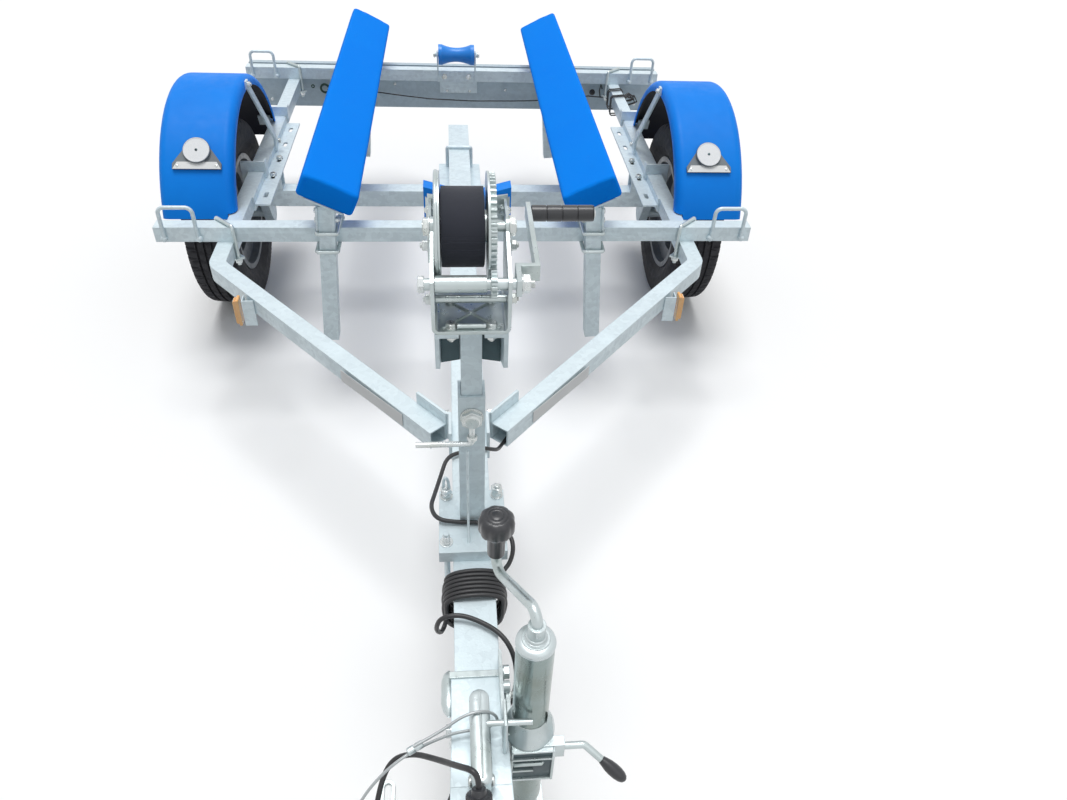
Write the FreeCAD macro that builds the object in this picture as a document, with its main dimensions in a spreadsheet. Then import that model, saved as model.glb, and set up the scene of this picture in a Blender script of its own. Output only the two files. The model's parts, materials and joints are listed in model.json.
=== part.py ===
import FreeCAD, Part
import math
import os
import re
from FreeCAD import Placement, Rotation, Vector

# Personal watercraft trailer: galvanised ladder frame on one axle, with bunks, winch post and jockey wheel.
# Millimetres.  +X is the right-hand side seen from the front, +Y runs from the coupling to the rear,
# +Z is up.
# The origin is on the floor, under the middle of the outer box.

doc = FreeCAD.newDocument("watercraft_trailer")
sheet = doc.addObject("Spreadsheet::Sheet", "Sizes")

# alias, value, meaning
SIZES = [
    # frame
    ("overall_length", 2900, "coupling nose to the rear ends of the bunks"),
    ("rail_top", 450, "height of the rails' top face"),
    ("tube_side", 40, "square tube of rails, crossbars and bunk posts"),
    ("tube_wall", 3, "wall of that tube"),
    ("rail_spread", 600, "middle of the frame to the middle of a rail"),
    ("bend_radius", 45, "bend of a rail's middle line"),
    ("bend_ahead", 105, "front crossbar to the bend of the rails"),
    ("arm_tip_spread", 59, "middle of the frame to the middle of an arm's tip"),
    ("arm_tip_ahead", 729, "front crossbar to the arms' tips"),
    ("nose_to_bar", 1500, "coupling nose to the front crossbar's front face"),
    ("bar_length", 1540, "length of both crossbars"),
    ("bar_pitch", 1230, "front crossbar to rear crossbar"),
    ("rod", 10, "round rod of loops and U-bolts"),
    ("bolt_gap", 0.5, "U-bolts clear of the tubes that they hold"),
    ("loop_spread", 745, "middle of the frame to a loop's outer leg"),
    ("loop_width", 82, "between the legs' middles of a tie-down loop"),
    ("loop_rise", 62, "tie-down loop above its crossbar"),
    ("loop_grip", 32, "length of a loop's leg on the crossbar's face"),
    ("loop_bend", 16, "bend of a tie-down loop"),
    ("clamp_strap", 24, "width of the plates under the rails"),
    ("clamp_plate", 6, "thickness of the plates under the rails"),
    ("clamp_stub", 16, "U-bolt's thread below its plate"),
    # drawbar
    ("draw_side", 65, "square tube of the drawbar"),
    ("draw_wall", 4, "wall of the drawbar"),
    ("draw_tail", 800, "drawbar behind the front crossbar's front face"),
    ("gusset_height", 65, "height of the plates between arms and drawbar"),
    ("gusset_drop", 40, "those plates below the rails' top"),
    ("gusset_plate", 6, "thickness of those plates"),
    ("gusset_flat", 62, "length of the leg on the drawbar"),
    ("gusset_wing", 88, "length of the leg on the arm"),
    ("saddle_width", 130, "width of the plate between drawbar and axle"),
    ("saddle_depth", 330, "length of that plate"),
    ("saddle_plate", 6, "thickness of that plate"),
    ("band_pitch", 290, "between the U-bolts in that plate"),
    ("band_tie", 4, "thickness of the ties under the U-bolts"),
    # axle and wheels
    ("axle_back", 455, "axle beam's middle behind the front crossbar's front face"),
    ("axle_side", 50, "square tube of the axle beam"),
    ("axle_half", 583, "half the axle beam"),
    ("flange_start", 250, "axle flanges start behind the front crossbar"),
    ("flange_length", 600, "length of the axle flanges"),
    ("flange_width", 48, "width of the axle flanges"),
    ("flange_plate", 5, "thickness of the axle flanges"),
    ("flange_drop", 20, "axle flanges below the rails' top"),
    ("slot_length", 34, "slots in the axle flanges"),
    ("slot_width", 12, "width of those slots"),
    ("slot_pitch", 120, "pitch of those slots"),
    ("arm_plate", 26, "thickness of a swing arm"),
    ("arm_run", 45, "hub behind the axle beam's middle"),
    ("arm_eye", 30, "radius of a swing arm's ends"),
    ("stub_radius", 15, "wheel stub"),
    ("stub_reach", 132, "end of the wheel stub from the swing arm"),
    ("bearing_gap", 1, "clearance of the hub on its stub"),
    ("wheel_spread", 720, "middle of the frame to the middle of a tyre"),
    ("tyre_radius", 281, "outer radius of a tyre"),
    ("tyre_width", 145, "width of a tyre"),
    ("tyre_wall", 11, "thickness of a tyre"),
    ("tyre_shoulder", 24, "height of a tyre's shoulders"),
    ("tyre_inset", 5, "shoulders inside a tyre's widest place"),
    ("tread_share", 0.76, "flat tread, as a share of a tyre's width"),
    ("bead_gap", 1, "tyre clear of the rim's edges"),
    ("rim_radius", 165, "bead seat of the rim"),
    ("rim_lip", 12, "height of the rim's edge"),
    ("rim_width", 114, "width of the rim"),
    ("rim_sheet", 4, "thickness of the rim"),
    ("rim_offset", 30, "rim's mounting face outside its middle"),
    ("vent_count", 12, "holes round a rim's disc"),
    ("vent_ring", 98, "radius of the ring that these holes lie on"),
    ("vent_radius", 9, "radius of these holes"),
    ("hub_radius", 34, "hub's barrel"),
    ("hub_flange", 66, "hub's flange"),
    ("hub_length", 62, "hub's barrel inside the mounting face"),
    ("cap_radius", 26, "grease cap"),
    ("cap_length", 36, "grease cap beyond the mounting face"),
    # mudguards
    ("guard_radius", 370, "outer radius of a mudguard"),
    ("guard_width", 195, "width of a mudguard"),
    ("guard_spread", 700, "middle of the frame to the middle of a mudguard"),
    ("guard_sheet", 5, "thickness of a mudguard"),
    ("guard_lip", 30, "depth of a mudguard's side lips"),
    ("guard_round", 24, "outer rounding of a mudguard"),
    ("guard_back", 490, "mudguards' middle behind the front crossbar's front face"),
    ("guard_height", 320, "mudguards' middle above the floor"),
    ("guard_start_angle", 19, "degrees above level where a mudguard starts"),
    ("guard_sweep_angle", 150, "degrees that a mudguard goes round"),
    ("stirrup_back", 420, "front stirrups behind the front crossbar"),
    ("stirrup_pitch", 440, "front stirrups to rear stirrups"),
    ("stirrup_rise", 30, "stirrups above the rails"),
    ("stirrup_reach", 40, "stirrups beyond the rails' middles"),
    ("stirrup_plate", 6, "thickness of the stirrups"),
    ("stirrup_width", 30, "width of the stirrups' inner legs"),
    ("guard_clear", 3, "mudguards clear of the rails"),
    ("stay_back", 620, "struts' feet behind the front crossbar"),
    ("stay_angle", 92, "degrees above level of the struts' upper ends"),
    ("stay_width", 22, "width of the struts"),
    ("tab_angle", 21, "degrees above level of the tabs under the mudguards' ends"),
    ("tab_length", 36, "length of those tabs along the mudguard"),
    ("tab_gap", 1.7, "those tabs under the mudguard's crown"),
    ("tab_reach", 40, "reach of those tabs beyond the rails"),
    ("reflector_radius", 35, "round reflectors"),
    ("reflector_plate", 7, "thickness of the reflectors"),
    ("reflector_angle", 46.5, "degrees above level of the reflectors"),
    ("reflector_shift", 7, "reflectors' middle from the mudguards', inwards"),
    ("backing_width", 126, "width of the reflectors' backing"),
    ("backing_top", 56, "width of that backing at its top"),
    ("backing_low", 50, "backing below the reflector's middle"),
    ("backing_high", 16, "backing above the reflector's middle"),
    ("backing_edge", 16, "height of that backing's straight edge"),
    ("backing_sheet", 3, "thickness of that backing"),
    # bunks
    ("bunk_length", 1455, "length of a bunk"),
    ("bunk_width", 141, "width of a bunk"),
    ("bunk_thick", 60, "thickness of a bunk"),
    ("bunk_tilt", 25.5, "tilt of a bunk, inner edge lower"),
    ("bunk_spread", 310, "middle of the frame to the middle of a bunk's top face"),
    ("bunk_height", 630, "height of that middle"),
    ("bunk_round", 9, "rounding of a bunk's edges"),
    ("post_spread", 338, "middle of the frame to a bunk post, at the crossbar's top"),
    ("post_lean", 4.5, "lean of the bunk posts, tops inwards"),
    ("post_below", 322, "bunk posts below the crossbars' top"),
    ("post_above", 76, "bunk posts above the crossbars' top"),
    ("bracket_plate", 5, "thickness of the bunk brackets"),
    ("bracket_width", 60, "length of the bunk brackets along the bunk"),
    ("bracket_wing", 100, "width of the bunk brackets across the bunk"),
    ("bracket_leg", 60, "leg of the bunk brackets on the post"),
    ("seat_gap", 0.3, "soft pieces clear of what carries them"),
    # rear
    ("board_drop", 160, "height of the light board"),
    ("board_lip", 26, "depth of the light board's edges"),
    ("board_sheet", 2.5, "thickness of the light board"),
    ("board_gap", 22, "light board behind the rear crossbar"),
    ("board_bolt", 8, "radius of the light board's spacers"),
    ("board_top_drop", 2, "top of the light board below the crossbar's top"),
    ("lamp_length", 220, "length of a rear lamp"),
    ("lamp_height", 98, "height of a rear lamp"),
    ("lamp_depth", 42, "depth of a rear lamp"),
    ("lamp_inset", 18, "rear lamp from the light board's end"),
    ("roller_length", 130, "length of the keel roller"),
    ("roller_radius", 35, "radius of the keel roller's ends"),
    ("roller_waist", 24, "radius of the keel roller's middle"),
    ("roller_height", 66, "keel roller's axis above the crossbar's top"),
    ("roller_ahead", 30, "keel roller's axis ahead of the rear crossbar"),
    ("roller_pin", 8, "radius of the keel roller's pin"),
    ("fork_plate", 5, "thickness of the keel roller's bracket"),
    ("fork_gap", 1.5, "keel roller clear of its bracket on each side"),
    ("fork_eye", 14, "half the width of the bracket's cheeks at the pin"),
    ("fork_crown", 12, "cheeks above the pin"),
    ("fork_end", 6, "keel roller's pin beyond its bracket"),
    ("pin_gap", 0.5, "rollers clear of their pins"),
    # winch post
    ("post_front", 985, "winch post ahead of the front crossbar"),
    ("socket_side", 40, "square tube of the winch post's socket"),
    ("socket_top", 740, "height of the socket"),
    ("mast_side", 30, "square tube of the winch post"),
    ("mast_top", 864, "height of the winch post"),
    ("base_width", 110, "width of the winch post's base"),
    ("base_ahead", 65, "base ahead of the winch post"),
    ("base_length", 135, "length of the base"),
    ("base_rise", 22, "height of the base"),
    ("base_sheet", 5, "thickness of the base"),
    ("stud_spread", 43, "middle of the frame to the base's studs"),
    ("stud_rise", 44, "studs above the drawbar"),
    ("stud_back", 18, "rear studs behind the socket"),
    ("mast_gap", 0.5, "winch post clear of its socket on each side"),
    ("head_width", 98, "width of the bracket under the winch"),
    ("head_depth", 96, "length of the bracket under the winch"),
    ("head_drop", 50, "height of the bracket under the winch, at its front"),
    ("head_back", 88, "height of its back wall"),
    ("head_bow", 8, "rise in the middle of that wall's lower edge"),
    ("head_sheet", 6, "thickness of the bracket under the winch"),
    ("head_slot", 34, "width of the notch in that bracket's front edge"),
    ("head_slot_depth", 10, "depth of that notch"),
    ("handle_height", 702, "height of the post's clamp screw"),
    ("handle_drop", 44, "drop of the clamp screw's handle"),
    ("handle_reach", 84, "reach of the clamp screw's handle"),
    ("handle_head", 9, "radius of the clamp screw's head"),
    ("handle_stand", 16, "length of that head"),
    ("handle_thick", 4.5, "radius of the clamp screw's handle"),
    # winch
    ("winch_width", 104, "width over the winch's side plates"),
    ("winch_depth", 120, "length of the winch's side plates"),
    ("winch_sheet", 5, "thickness of the winch's frame"),
    ("winch_bend", 10, "outer bend between the winch's base and its side plates"),
    ("winch_crown", 13, "rounding of the side plates over the drum's axle"),
    ("winch_brow", 12, "side plates above the crank's shaft, at their front"),
    ("winch_fall", 20, "side plates' rear edge: its top below the drum's axis"),
    ("winch_heel", 70, "side plates' rear edge: its foot below the drum's axis"),
    ("winch_front", 1012, "winch's front ahead of the front crossbar"),
    ("drum_ahead", 922, "drum's axis ahead of the front crossbar"),
    ("drum_height", 980, "height of the drum's axis"),
    ("drum_flange", 71, "radius of the drum's flanges"),
    ("drum_core", 22, "radius of the drum's core"),
    ("drum_sheet", 3, "thickness of the drum's flanges"),
    ("strap_width", 60, "width of the rolled strap"),
    ("strap_radius", 53, "radius of the rolled strap"),
    ("strap_gap", 0.3, "rolled strap clear of the drum"),
    ("drum_shift", -8, "middle of the rolled strap from the middle of the frame"),
    ("gear_width", 8, "width of the drum's gear"),
    ("gear_teeth", 48, "teeth of the drum's gear"),
    ("pinion_teeth", 12, "teeth of the pinion"),
    ("gear_pitch", 68, "pitch radius of the drum's gear"),
    ("tooth_gap", 1.2, "play between pinion and gear"),
    ("shaft_radius", 8, "crank's shaft"),
    ("drum_axle", 7, "drum's axle"),
    ("axle_end", 10, "drum's axle beyond the side plates"),
    ("shaft_end", 12, "crank's shaft beyond the left side plate"),
    ("hub_gap", 6, "crank clear of the right side plate"),
    ("pinion_angle", 30, "degrees that the pinion lies below level, ahead of the drum"),
    ("crank_step", 26, "crank's offset beyond its hub"),
    ("crank_arm", 183, "length of the crank"),
    ("crank_bar", 24, "width of the crank"),
    ("crank_sheet", 7, "thickness of the crank"),
    ("crank_angle", 2, "degrees that the crank points up, towards the rear"),
    ("grip_radius", 11, "radius of the crank's grip"),
    ("grip_length", 86, "length of the crank's grip"),
    ("grip_pin", 5, "radius of the grip's pin"),
    ("grip_end", 8, "that pin beyond the grip"),
    ("grip_gap", 1, "grip clear of the crank"),
    # bow stop
    ("stop_width", 127, "width of the bow stop"),
    ("stop_height", 60, "height of the bow stop"),
    ("stop_depth", 62, "length of the bow stop"),
    ("stop_thick", 24, "thickness of the bow stop's two arms, along the frame"),
    ("stop_ahead", 832, "bow stop's front ahead of the front crossbar"),
    ("stop_centre", 945, "height of the bow stop's middle"),
    ("stop_ear", 4, "thickness of the bow stop's straps"),
    ("stop_strap", 34, "width of the bow stop's straps"),
    ("stop_lap", 34, "those straps on the winch's side plates"),
    ("stop_flange", 9, "those straps beyond the side plates, on the bow stop"),
    # coupling
    ("shell_rear", 1252, "coupling's rear end ahead of the front crossbar"),
    ("shell_sheet", 5, "thickness of the coupling's shell"),
    ("shell_drop", 52, "coupling's sides below the drawbar's top"),
    ("shell_lap", 85, "drawbar inside the coupling"),
    ("shoulder", 12, "drawbar's front end to the sleeve's shoulders"),
    ("hollow_width", 45, "hollow under the sleeve's front"),
    ("head_radius", 41, "coupling's head"),
    ("head_join", 46, "joint between head and sleeve behind the ball's middle"),
    ("ball_radius", 25, "tow ball"),
    ("ball_play", 0.4, "coupling's ball socket larger than the ball"),
    ("ball_height", 412, "height of the ball's middle"),
    ("lever_width", 26, "width of the coupling's lever"),
    ("lever_rear", 1303, "lever's rear end ahead of the front crossbar"),
    ("lever_length", 128, "length of the coupling's lever"),
    ("lever_height", 40, "height of the coupling's lever"),
    ("lever_eye", 42, "hole through the lever from its rear end, for the breakaway cable"),
    ("eye_width", 14, "length of that hole"),
    ("eye_height", 14, "height of that hole"),
    ("eye_rise", 4, "foot of that hole above the shell"),
    # jockey wheel
    ("jockey_spread", 67, "middle of the frame to the jockey wheel's tube"),
    ("jockey_ahead", 1335, "jockey wheel's tube ahead of the front crossbar"),
    ("jockey_tube", 24, "outer radius of the jockey wheel's tube"),
    ("jockey_wall", 2.5, "wall of that tube"),
    ("jockey_top", 650, "height of that tube's top"),
    ("jockey_foot", 268, "height of that tube's lower end"),
    ("stem_gap", 0.6, "stem clear of its tube"),
    ("stem_length", 180, "length of the stem inside the tube"),
    ("clamp_height", 52, "height of the jockey wheel's clamp"),
    ("clamp_top", 462, "height of the clamp's top"),
    ("clamp_wall", 6, "thickness of the clamp's ring"),
    ("clamp_ear", 22, "clamp's ear beyond the tube"),
    ("clamp_ear_thick", 14, "thickness of that ear"),
    ("toggle_run", 50, "bend of the clamp's toggle beyond the tube"),
    ("toggle_side", 22, "toggle's slanted end, sideways"),
    ("toggle_front", 16, "toggle's slanted end, forwards"),
    ("toggle_fall", 12, "toggle's slanted end, downwards"),
    ("toggle_radius", 5, "radius of the toggle"),
    ("toggle_grip", 9, "radius of the toggle's grip"),
    ("toggle_length", 42, "length of the toggle's grip"),
    ("cap_rise", 12, "height of the tube's cap"),
    ("boss_radius", 11, "boss on the cap"),
    ("boss_rise", 22, "height of that boss"),
    ("cap_inset", 1, "tube's cap inside the tube's edge"),
    ("rod_radius", 7, "jockey crank's rod"),
    ("rod_knee", 26, "rod's bends above the boss and below the knob"),
    ("knob_back", 135, "jockey crank's knob behind the tube"),
    ("knob_side", 41, "jockey crank's knob beside the tube, towards the drawbar"),
    ("knob_foot", 644, "height of the knob's lower end"),
    ("knob_radius", 23, "radius of the knob"),
    ("knob_height", 92, "height of the knob"),
    ("knob_bore", 20, "rod inside the knob"),
    ("jockey_wheel_radius", 100, "radius of the jockey wheel"),
    ("jockey_wheel_width", 50, "width of the jockey wheel"),
    ("castor_trail", 32, "jockey wheel's axle behind its stem"),
    ("castor_plate", 5, "thickness of the jockey wheel's fork"),
    ("castor_pin", 7, "radius of the jockey wheel's axle"),
    ("castor_clear", 8, "fork clear of the jockey wheel, above it"),
    ("castor_side", 2, "fork clear of the jockey wheel, beside it"),
    ("castor_crown", 60, "length of the fork's top"),
    ("castor_eye", 16, "half the width of the fork's legs at the axle"),
    ("castor_foot", 14, "fork's legs below the axle"),
    ("castor_end", 5, "jockey wheel's axle beyond the fork"),
    ("castor_hub", 26, "radius of the jockey wheel's hub"),
    ("castor_disc", 16, "thickness of the jockey wheel's disc"),
    ("castor_rim", 65, "radius inside the jockey wheel's rim"),
    ("castor_tyre", 24, "thickness of the jockey wheel's tyre"),
    # lamps on the arms
    ("marker_spread", 527, "middle of the frame to a side marker's lens"),
    ("marker_ahead", 258, "side markers ahead of the front crossbar"),
    ("marker_top", 446, "height of the side markers' top"),
    ("marker_height", 68, "height of the side markers"),
    ("marker_width", 26, "length of the side markers"),
    ("marker_depth", 14, "thickness of the side markers' lens"),
    ("marker_sheet", 3, "thickness of the side markers' brackets"),
    # cords
    ("lead_radius", 3.75, "radius of the black lead"),
    ("coil_length", 62, "length of the lead's winding on the drawbar"),
    ("coil_ahead", 1138, "front of that winding ahead of the front crossbar"),
    ("coil_top", 9, "thickness of that winding over the drawbar"),
    ("coil_side", 18, "thickness of that winding beside the drawbar"),
    ("coil_below", 20, "thickness of that winding under the drawbar"),
    ("plug_radius", 24, "radius of the plug"),
    ("plug_length", 62, "length of the plug"),
    ("plug_lean", 35, "degrees that the plug leans back"),
    ("cable_radius", 2, "radius of the breakaway cable"),
    ("hook_length", 62, "length of that cable's hook"),
    ("hook_width", 26, "width of that hook"),
    ("hook_plate", 6, "thickness of that hook"),
]
ALIASES = {alias for alias, value, meaning in SIZES}
for row, (alias, value, meaning) in enumerate(SIZES, start=1):
    sheet.set(f"A{row}", meaning)
    sheet.set(f"B{row}", str(value))
    sheet.setAlias(f"B{row}", alias)
doc.recompute()

# Places that follow from the sizes.
DERIVED = {
    "nose_y": "0 - overall_length / 2",
    "bar_y": "nose_y + nose_to_bar",
    "rear_y": "bar_y + bar_pitch",
    "bar_top": "rail_top + tube_side",
    "rail_floor": "rail_top - tube_side",
    "rail_outer": "rail_spread + tube_side / 2",
    "rail_inner": "rail_spread - tube_side / 2",
    "draw_floor": "rail_top - draw_side",
    "axle_y": "bar_y + axle_back",
    "axle_z": "draw_floor - axle_side / 2",
    "wheel_y": "axle_y + arm_run",
    "guard_y": "bar_y + guard_back",
    "mast_y": "bar_y - post_front",
    "mast_mid_y": "mast_y + socket_side / 2",
    "drum_y": "bar_y - drum_ahead",
    "winch_floor": "mast_top + head_sheet",
    "winch_y": "bar_y - winch_front",
    "shell_y": "bar_y - shell_rear",
    "ball_y": "nose_y + head_radius",
    "shell_top": "rail_top + shell_sheet",
    "shoulder_y": "shell_y - shell_lap - shoulder",
    "head_join_y": "ball_y + head_join",
    "lever_y": "bar_y - lever_rear",
    "jockey_y": "bar_y - jockey_ahead",
    "stem_radius": "jockey_tube - jockey_wall - stem_gap",
    "fork_top": "2 * jockey_wheel_radius + castor_clear + castor_plate",
    "castor_y": "jockey_y + castor_trail",
    "pinion_radius": "gear_pitch * pinion_teeth / gear_teeth",
    "pinion_far": "gear_pitch + pinion_radius",
    "pinion_y": "drum_y - pinion_far * cos(pinion_angle)",
    "pinion_z": "drum_height - pinion_far * sin(pinion_angle)",
    "gear_x": "drum_shift + strap_width / 2 + strap_gap + drum_sheet",
    "crank_x": "winch_width / 2 + hub_gap",
    "roller_y": "rear_y - roller_ahead",
    "roller_z": "bar_top + roller_height",
    "stop_y": "bar_y - stop_ahead",
    "rear_end": "overall_length / 2",
    "board_top": "bar_top - board_top_drop",
    "board_y": "rear_y + tube_side + board_gap",
}
WORD = re.compile(r"[a-z][a-z0-9_]*")


def expand(text):
    """The text with each derived word written out and each size named in the sheet."""
    def swap(match):
        word = match.group(0)
        if word in DERIVED:
            return "(" + expand(DERIVED[word]) + ")"
        if word in ALIASES:
            return "Sizes." + word
        return word
    return WORD.sub(swap, str(text))


probe = doc.addObject("App::FeaturePython", "Probe")


def num(text):
    """The value that a text stands for now."""
    value = probe.evalExpression(expand(text))
    return float(getattr(value, "Value", value))


def put(item, at, turn=None):
    """Bind an object's place to three texts, with a fixed rotation or the one that it has."""
    item.Placement = Placement(Vector(), turn or item.Placement.Rotation)
    for axis, text in zip("xyz", at):
        item.setExpression(f"Placement.Base.{axis}", expand(text))
    return item


def block(name, size, corner):
    """A box: three texts for its size and three for its lowest corner."""
    item = doc.addObject("Part::Box", name)
    for side, text in zip(("Length", "Width", "Height"), size):
        item.setExpression(side, expand(text))
    return put(item, corner)


TURNS = {"x": Rotation(Vector(0, 1, 0), 90), "y": Rotation(Vector(1, 0, 0), -90), "z": Rotation()}


def rod(name, radius, length, start, axis="z"):
    """A cylinder from its start along an axis."""
    item = doc.addObject("Part::Cylinder", name)
    item.setExpression("Radius", expand(radius))
    item.setExpression("Height", expand(length))
    return put(item, start, TURNS[axis])


def cut(name, base, tool):
    item = doc.addObject("Part::Cut", name)
    item.Base, item.Tool = base, tool
    return item


def fuse(name, pieces):
    item = doc.addObject("Part::MultiFuse", name)
    item.Shapes = pieces
    return item


def shaped(name, shape):
    """A piece made with Part's own functions."""
    item = doc.addObject("Part::Feature", name)
    item.Shape = shape
    return item


NODES = {}


def node(label, item):
    """Name a finished sub-part; its label is also its file's name."""
    item.Label = label
    NODES[label] = item
    return item


def face_of(start, steps):
    """A closed face in the XY plane: straight steps are (x, y), arcs are (xm, ym, x, y)."""
    edges = []
    here = Vector(*start, 0)
    for step in steps + [start]:
        there = Vector(*step[-2:], 0)
        if here.distanceToPoint(there) < 1e-6:
            continue
        if len(step) == 4:
            edges.append(Part.Arc(here, Vector(*step[:2], 0), there).toShape())
        else:
            edges.append(Part.LineSegment(here, there).toShape())
        here = there
    return Part.Face(Part.Wire(edges))


def rounded_path(points, radii):
    """Straight runs joined by tangent arcs, one radius for each inner point."""
    edges = []
    here = points[0]
    for before, corner, after, radius in zip(points, points[1:], points[2:], radii):
        to_start = (before - corner).normalize()
        to_end = (after - corner).normalize()
        half = to_start.getAngle(to_end) / 2
        reach = radius / math.tan(half)
        first = corner + to_start * reach
        last = corner + to_end * reach
        bisector = (to_start + to_end).normalize()
        middle = corner + bisector * (radius / math.sin(half) - radius)
        if here.distanceToPoint(first) > 1e-6:
            edges.append(Part.LineSegment(here, first).toShape())
        edges.append(Part.Arc(first, middle, last).toShape())
        here = last
    edges.append(Part.LineSegment(here, points[-1]).toShape())
    return Part.Wire(edges)


def round_bar(points, radius, bend):
    """A round rod along a path whose corners all have one bend."""
    path = rounded_path(points, [bend] * (len(points) - 2))
    heading = (points[1] - points[0]).normalize()
    ring = Part.Wire([Part.Circle(points[0], heading, radius).toShape()])
    return path.makePipeShell([ring], True, False)


def square_bar(points, side, bend):
    """A square bar along a level path."""
    path = rounded_path(points, [bend] * (len(points) - 2))
    heading = (points[1] - points[0]).normalize()
    across = heading.cross(Vector(0, 0, 1)).normalize() * (side / 2)
    up = Vector(0, 0, side / 2)
    corners = [
        points[0] + across + up, points[0] - across + up, points[0] - across - up, points[0] + across - up
    ]
    ring = Part.makePolygon(corners + corners[:1])
    return path.makePipeShell([ring], True, False)


def mirrored(shape):
    """The same piece on the other side of the frame."""
    return shape.mirror(Vector(), Vector(1, 0, 0))


def both_sides(name, shape):
    """A right-hand piece and its mirror image as one node of two solids."""
    return shaped(name, Part.makeCompound([shape, mirrored(shape)]))


SIDES = (("left", -1), ("right", 1))


# ---- frame ---------------------------------------------------------------------------------------
def hollow_bar(label, front):
    """A square crossbar across the frame."""
    outer = block(
        f"{label}_outer", ("bar_length", "tube_side", "tube_side"), ("0 - bar_length / 2", front, "rail_top")
    )
    inner = block(
        f"{label}_inner",
        ("bar_length + 2", "tube_side - 2 * tube_wall", "tube_side - 2 * tube_wall"),
        ("0 - bar_length / 2 - 1", f"{front} + tube_wall", "rail_top + tube_wall"),
    )
    return node(label, cut(f"{label}_tube", outer, inner))


hollow_bar("front_crossbar", "bar_y")
hollow_bar("rear_crossbar", "rear_y")


def rail_shape(side):
    """A rail that bends inwards in front of the front crossbar and runs on as an arm of the A-frame."""
    level = num("rail_top - tube_side / 2")
    tail = Vector(side * num("rail_spread"), num("rear_y + tube_side"), level)
    bend = Vector(side * num("rail_spread"), num("bar_y - bend_ahead"), level)
    tip = Vector(side * num("arm_tip_spread"), num("bar_y - arm_tip_ahead"), level)
    outer = square_bar([tail, bend, tip], num("tube_side"), num("bend_radius"))
    past_tail = tail + Vector(0, 1, 0)
    past_tip = tip + (tip - bend).normalize()
    inner = square_bar([past_tail, bend, past_tip], num("tube_side - 2 * tube_wall"), num("bend_radius"))
    return outer.cut(inner)


for hand, side in SIDES:
    node(f"rail_{hand}", shaped(f"rail_{hand}_tube", rail_shape(side)))


def loop_shape(front):
    """A right-hand tie-down loop of bent rod on the front face of a crossbar."""
    y = num(front) - num("rod") / 2
    outer, inner = num("loop_spread"), num("loop_spread - loop_width")
    low, high = num("bar_top - loop_grip"), num("bar_top + loop_rise - rod / 2")
    points = [Vector(outer, y, low), Vector(outer, y, high), Vector(inner, y, high), Vector(inner, y, low)]
    return round_bar(points, num("rod") / 2, num("loop_bend"))


for label, front in (("tie_loops_front", "bar_y"), ("tie_loops_rear", "rear_y")):
    node(label, both_sides(f"{label}_rods", loop_shape(front)))


def clamp_shape(front):
    """A right-hand U-bolt set diagonally over a crossbar, with its plate under the rail."""
    reach = num("tube_side / 2 + rod / 2 + bolt_gap / 2")
    middle = Vector(num("rail_spread"), num(front) + num("tube_side") / 2, 0)
    legs = (middle + Vector(reach, reach, 0), middle + Vector(-reach, -reach, 0))
    low = Vector(0, 0, num("rail_floor - clamp_plate - clamp_stub"))
    high = Vector(0, 0, num("bar_top + rod / 2 + bolt_gap"))
    bolt = round_bar(
        [legs[0] + low, legs[0] + high, legs[1] + high, legs[1] + low], num("rod") / 2, num("rod") / 2 + 1
    )
    half = reach * math.sqrt(2) + num("rod")
    plate = Part.makeBox(
        2 * half, num("clamp_strap"), num("clamp_plate"), Vector(-half, -num("clamp_strap") / 2, 0)
    )
    plate.Placement = Placement(
        middle + Vector(0, 0, num("rail_floor - clamp_plate")), Rotation(Vector(0, 0, 1), 45)
    )
    return plate.fuse(bolt)



# ---- drawbar -------------------------------------------------------------------------------------
draw_start = "shell_y - shell_lap"
draw_length = "draw_tail + shell_rear + shell_lap"
draw_outer = block(
    "draw_outer", ("draw_side", draw_length, "draw_side"), ("0 - draw_side / 2", draw_start, "draw_floor")
)
draw_inner = block(
    "draw_inner",
    ("draw_side - 2 * draw_wall", f"{draw_length} + 2", "draw_side - 2 * draw_wall"),
    ("draw_wall - draw_side / 2", f"{draw_start} - 1", "draw_floor + draw_wall"),
)
node("drawbar", cut("draw_tube", draw_outer, draw_inner))


def gusset_shape():
    """A bent plate that joins the right arm's tip to the drawbar."""
    thick = num("gusset_plate")
    low = num("rail_top - gusset_drop")
    arm = Vector(num("rail_spread - arm_tip_spread"), num("arm_tip_ahead - bend_ahead"), 0).normalize()
    inward = Vector(-arm.y, arm.x, 0)
    tip = Vector(num("arm_tip_spread"), num("bar_y - arm_tip_ahead"), low)
    corner = tip + inward * (num("tube_side") / 2)
    wing = Part.makeBox(num("gusset_wing"), thick, num("gusset_height"))
    wing.Placement = Placement(corner, Rotation(Vector(0, 0, 1), math.degrees(math.atan2(arm.y, arm.x))))
    end = corner.y + thick
    flat = Part.makeBox(
        corner.x - num("draw_side") / 2 + inward.x * thick / 2,
        thick,
        num("gusset_height"),
        Vector(num("draw_side") / 2, corner.y, low),
    )
    leg = Part.makeBox(
        thick, num("gusset_flat"), num("gusset_height"),
        Vector(num("draw_side") / 2, end - num("gusset_flat"), low)
    )
    return leg.fuse([flat, wing]).removeSplitter()


node("junction_plates", both_sides("gussets", gusset_shape()))


def u_bolt(half, y, low, high):
    """A U-bolt over the drawbar, or under it where low is above high."""
    points = [Vector(-half, y, low), Vector(-half, y, high), Vector(half, y, high), Vector(half, y, low)]
    return round_bar(points, num("rod") / 2, num("rod") / 2 + 1)


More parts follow.
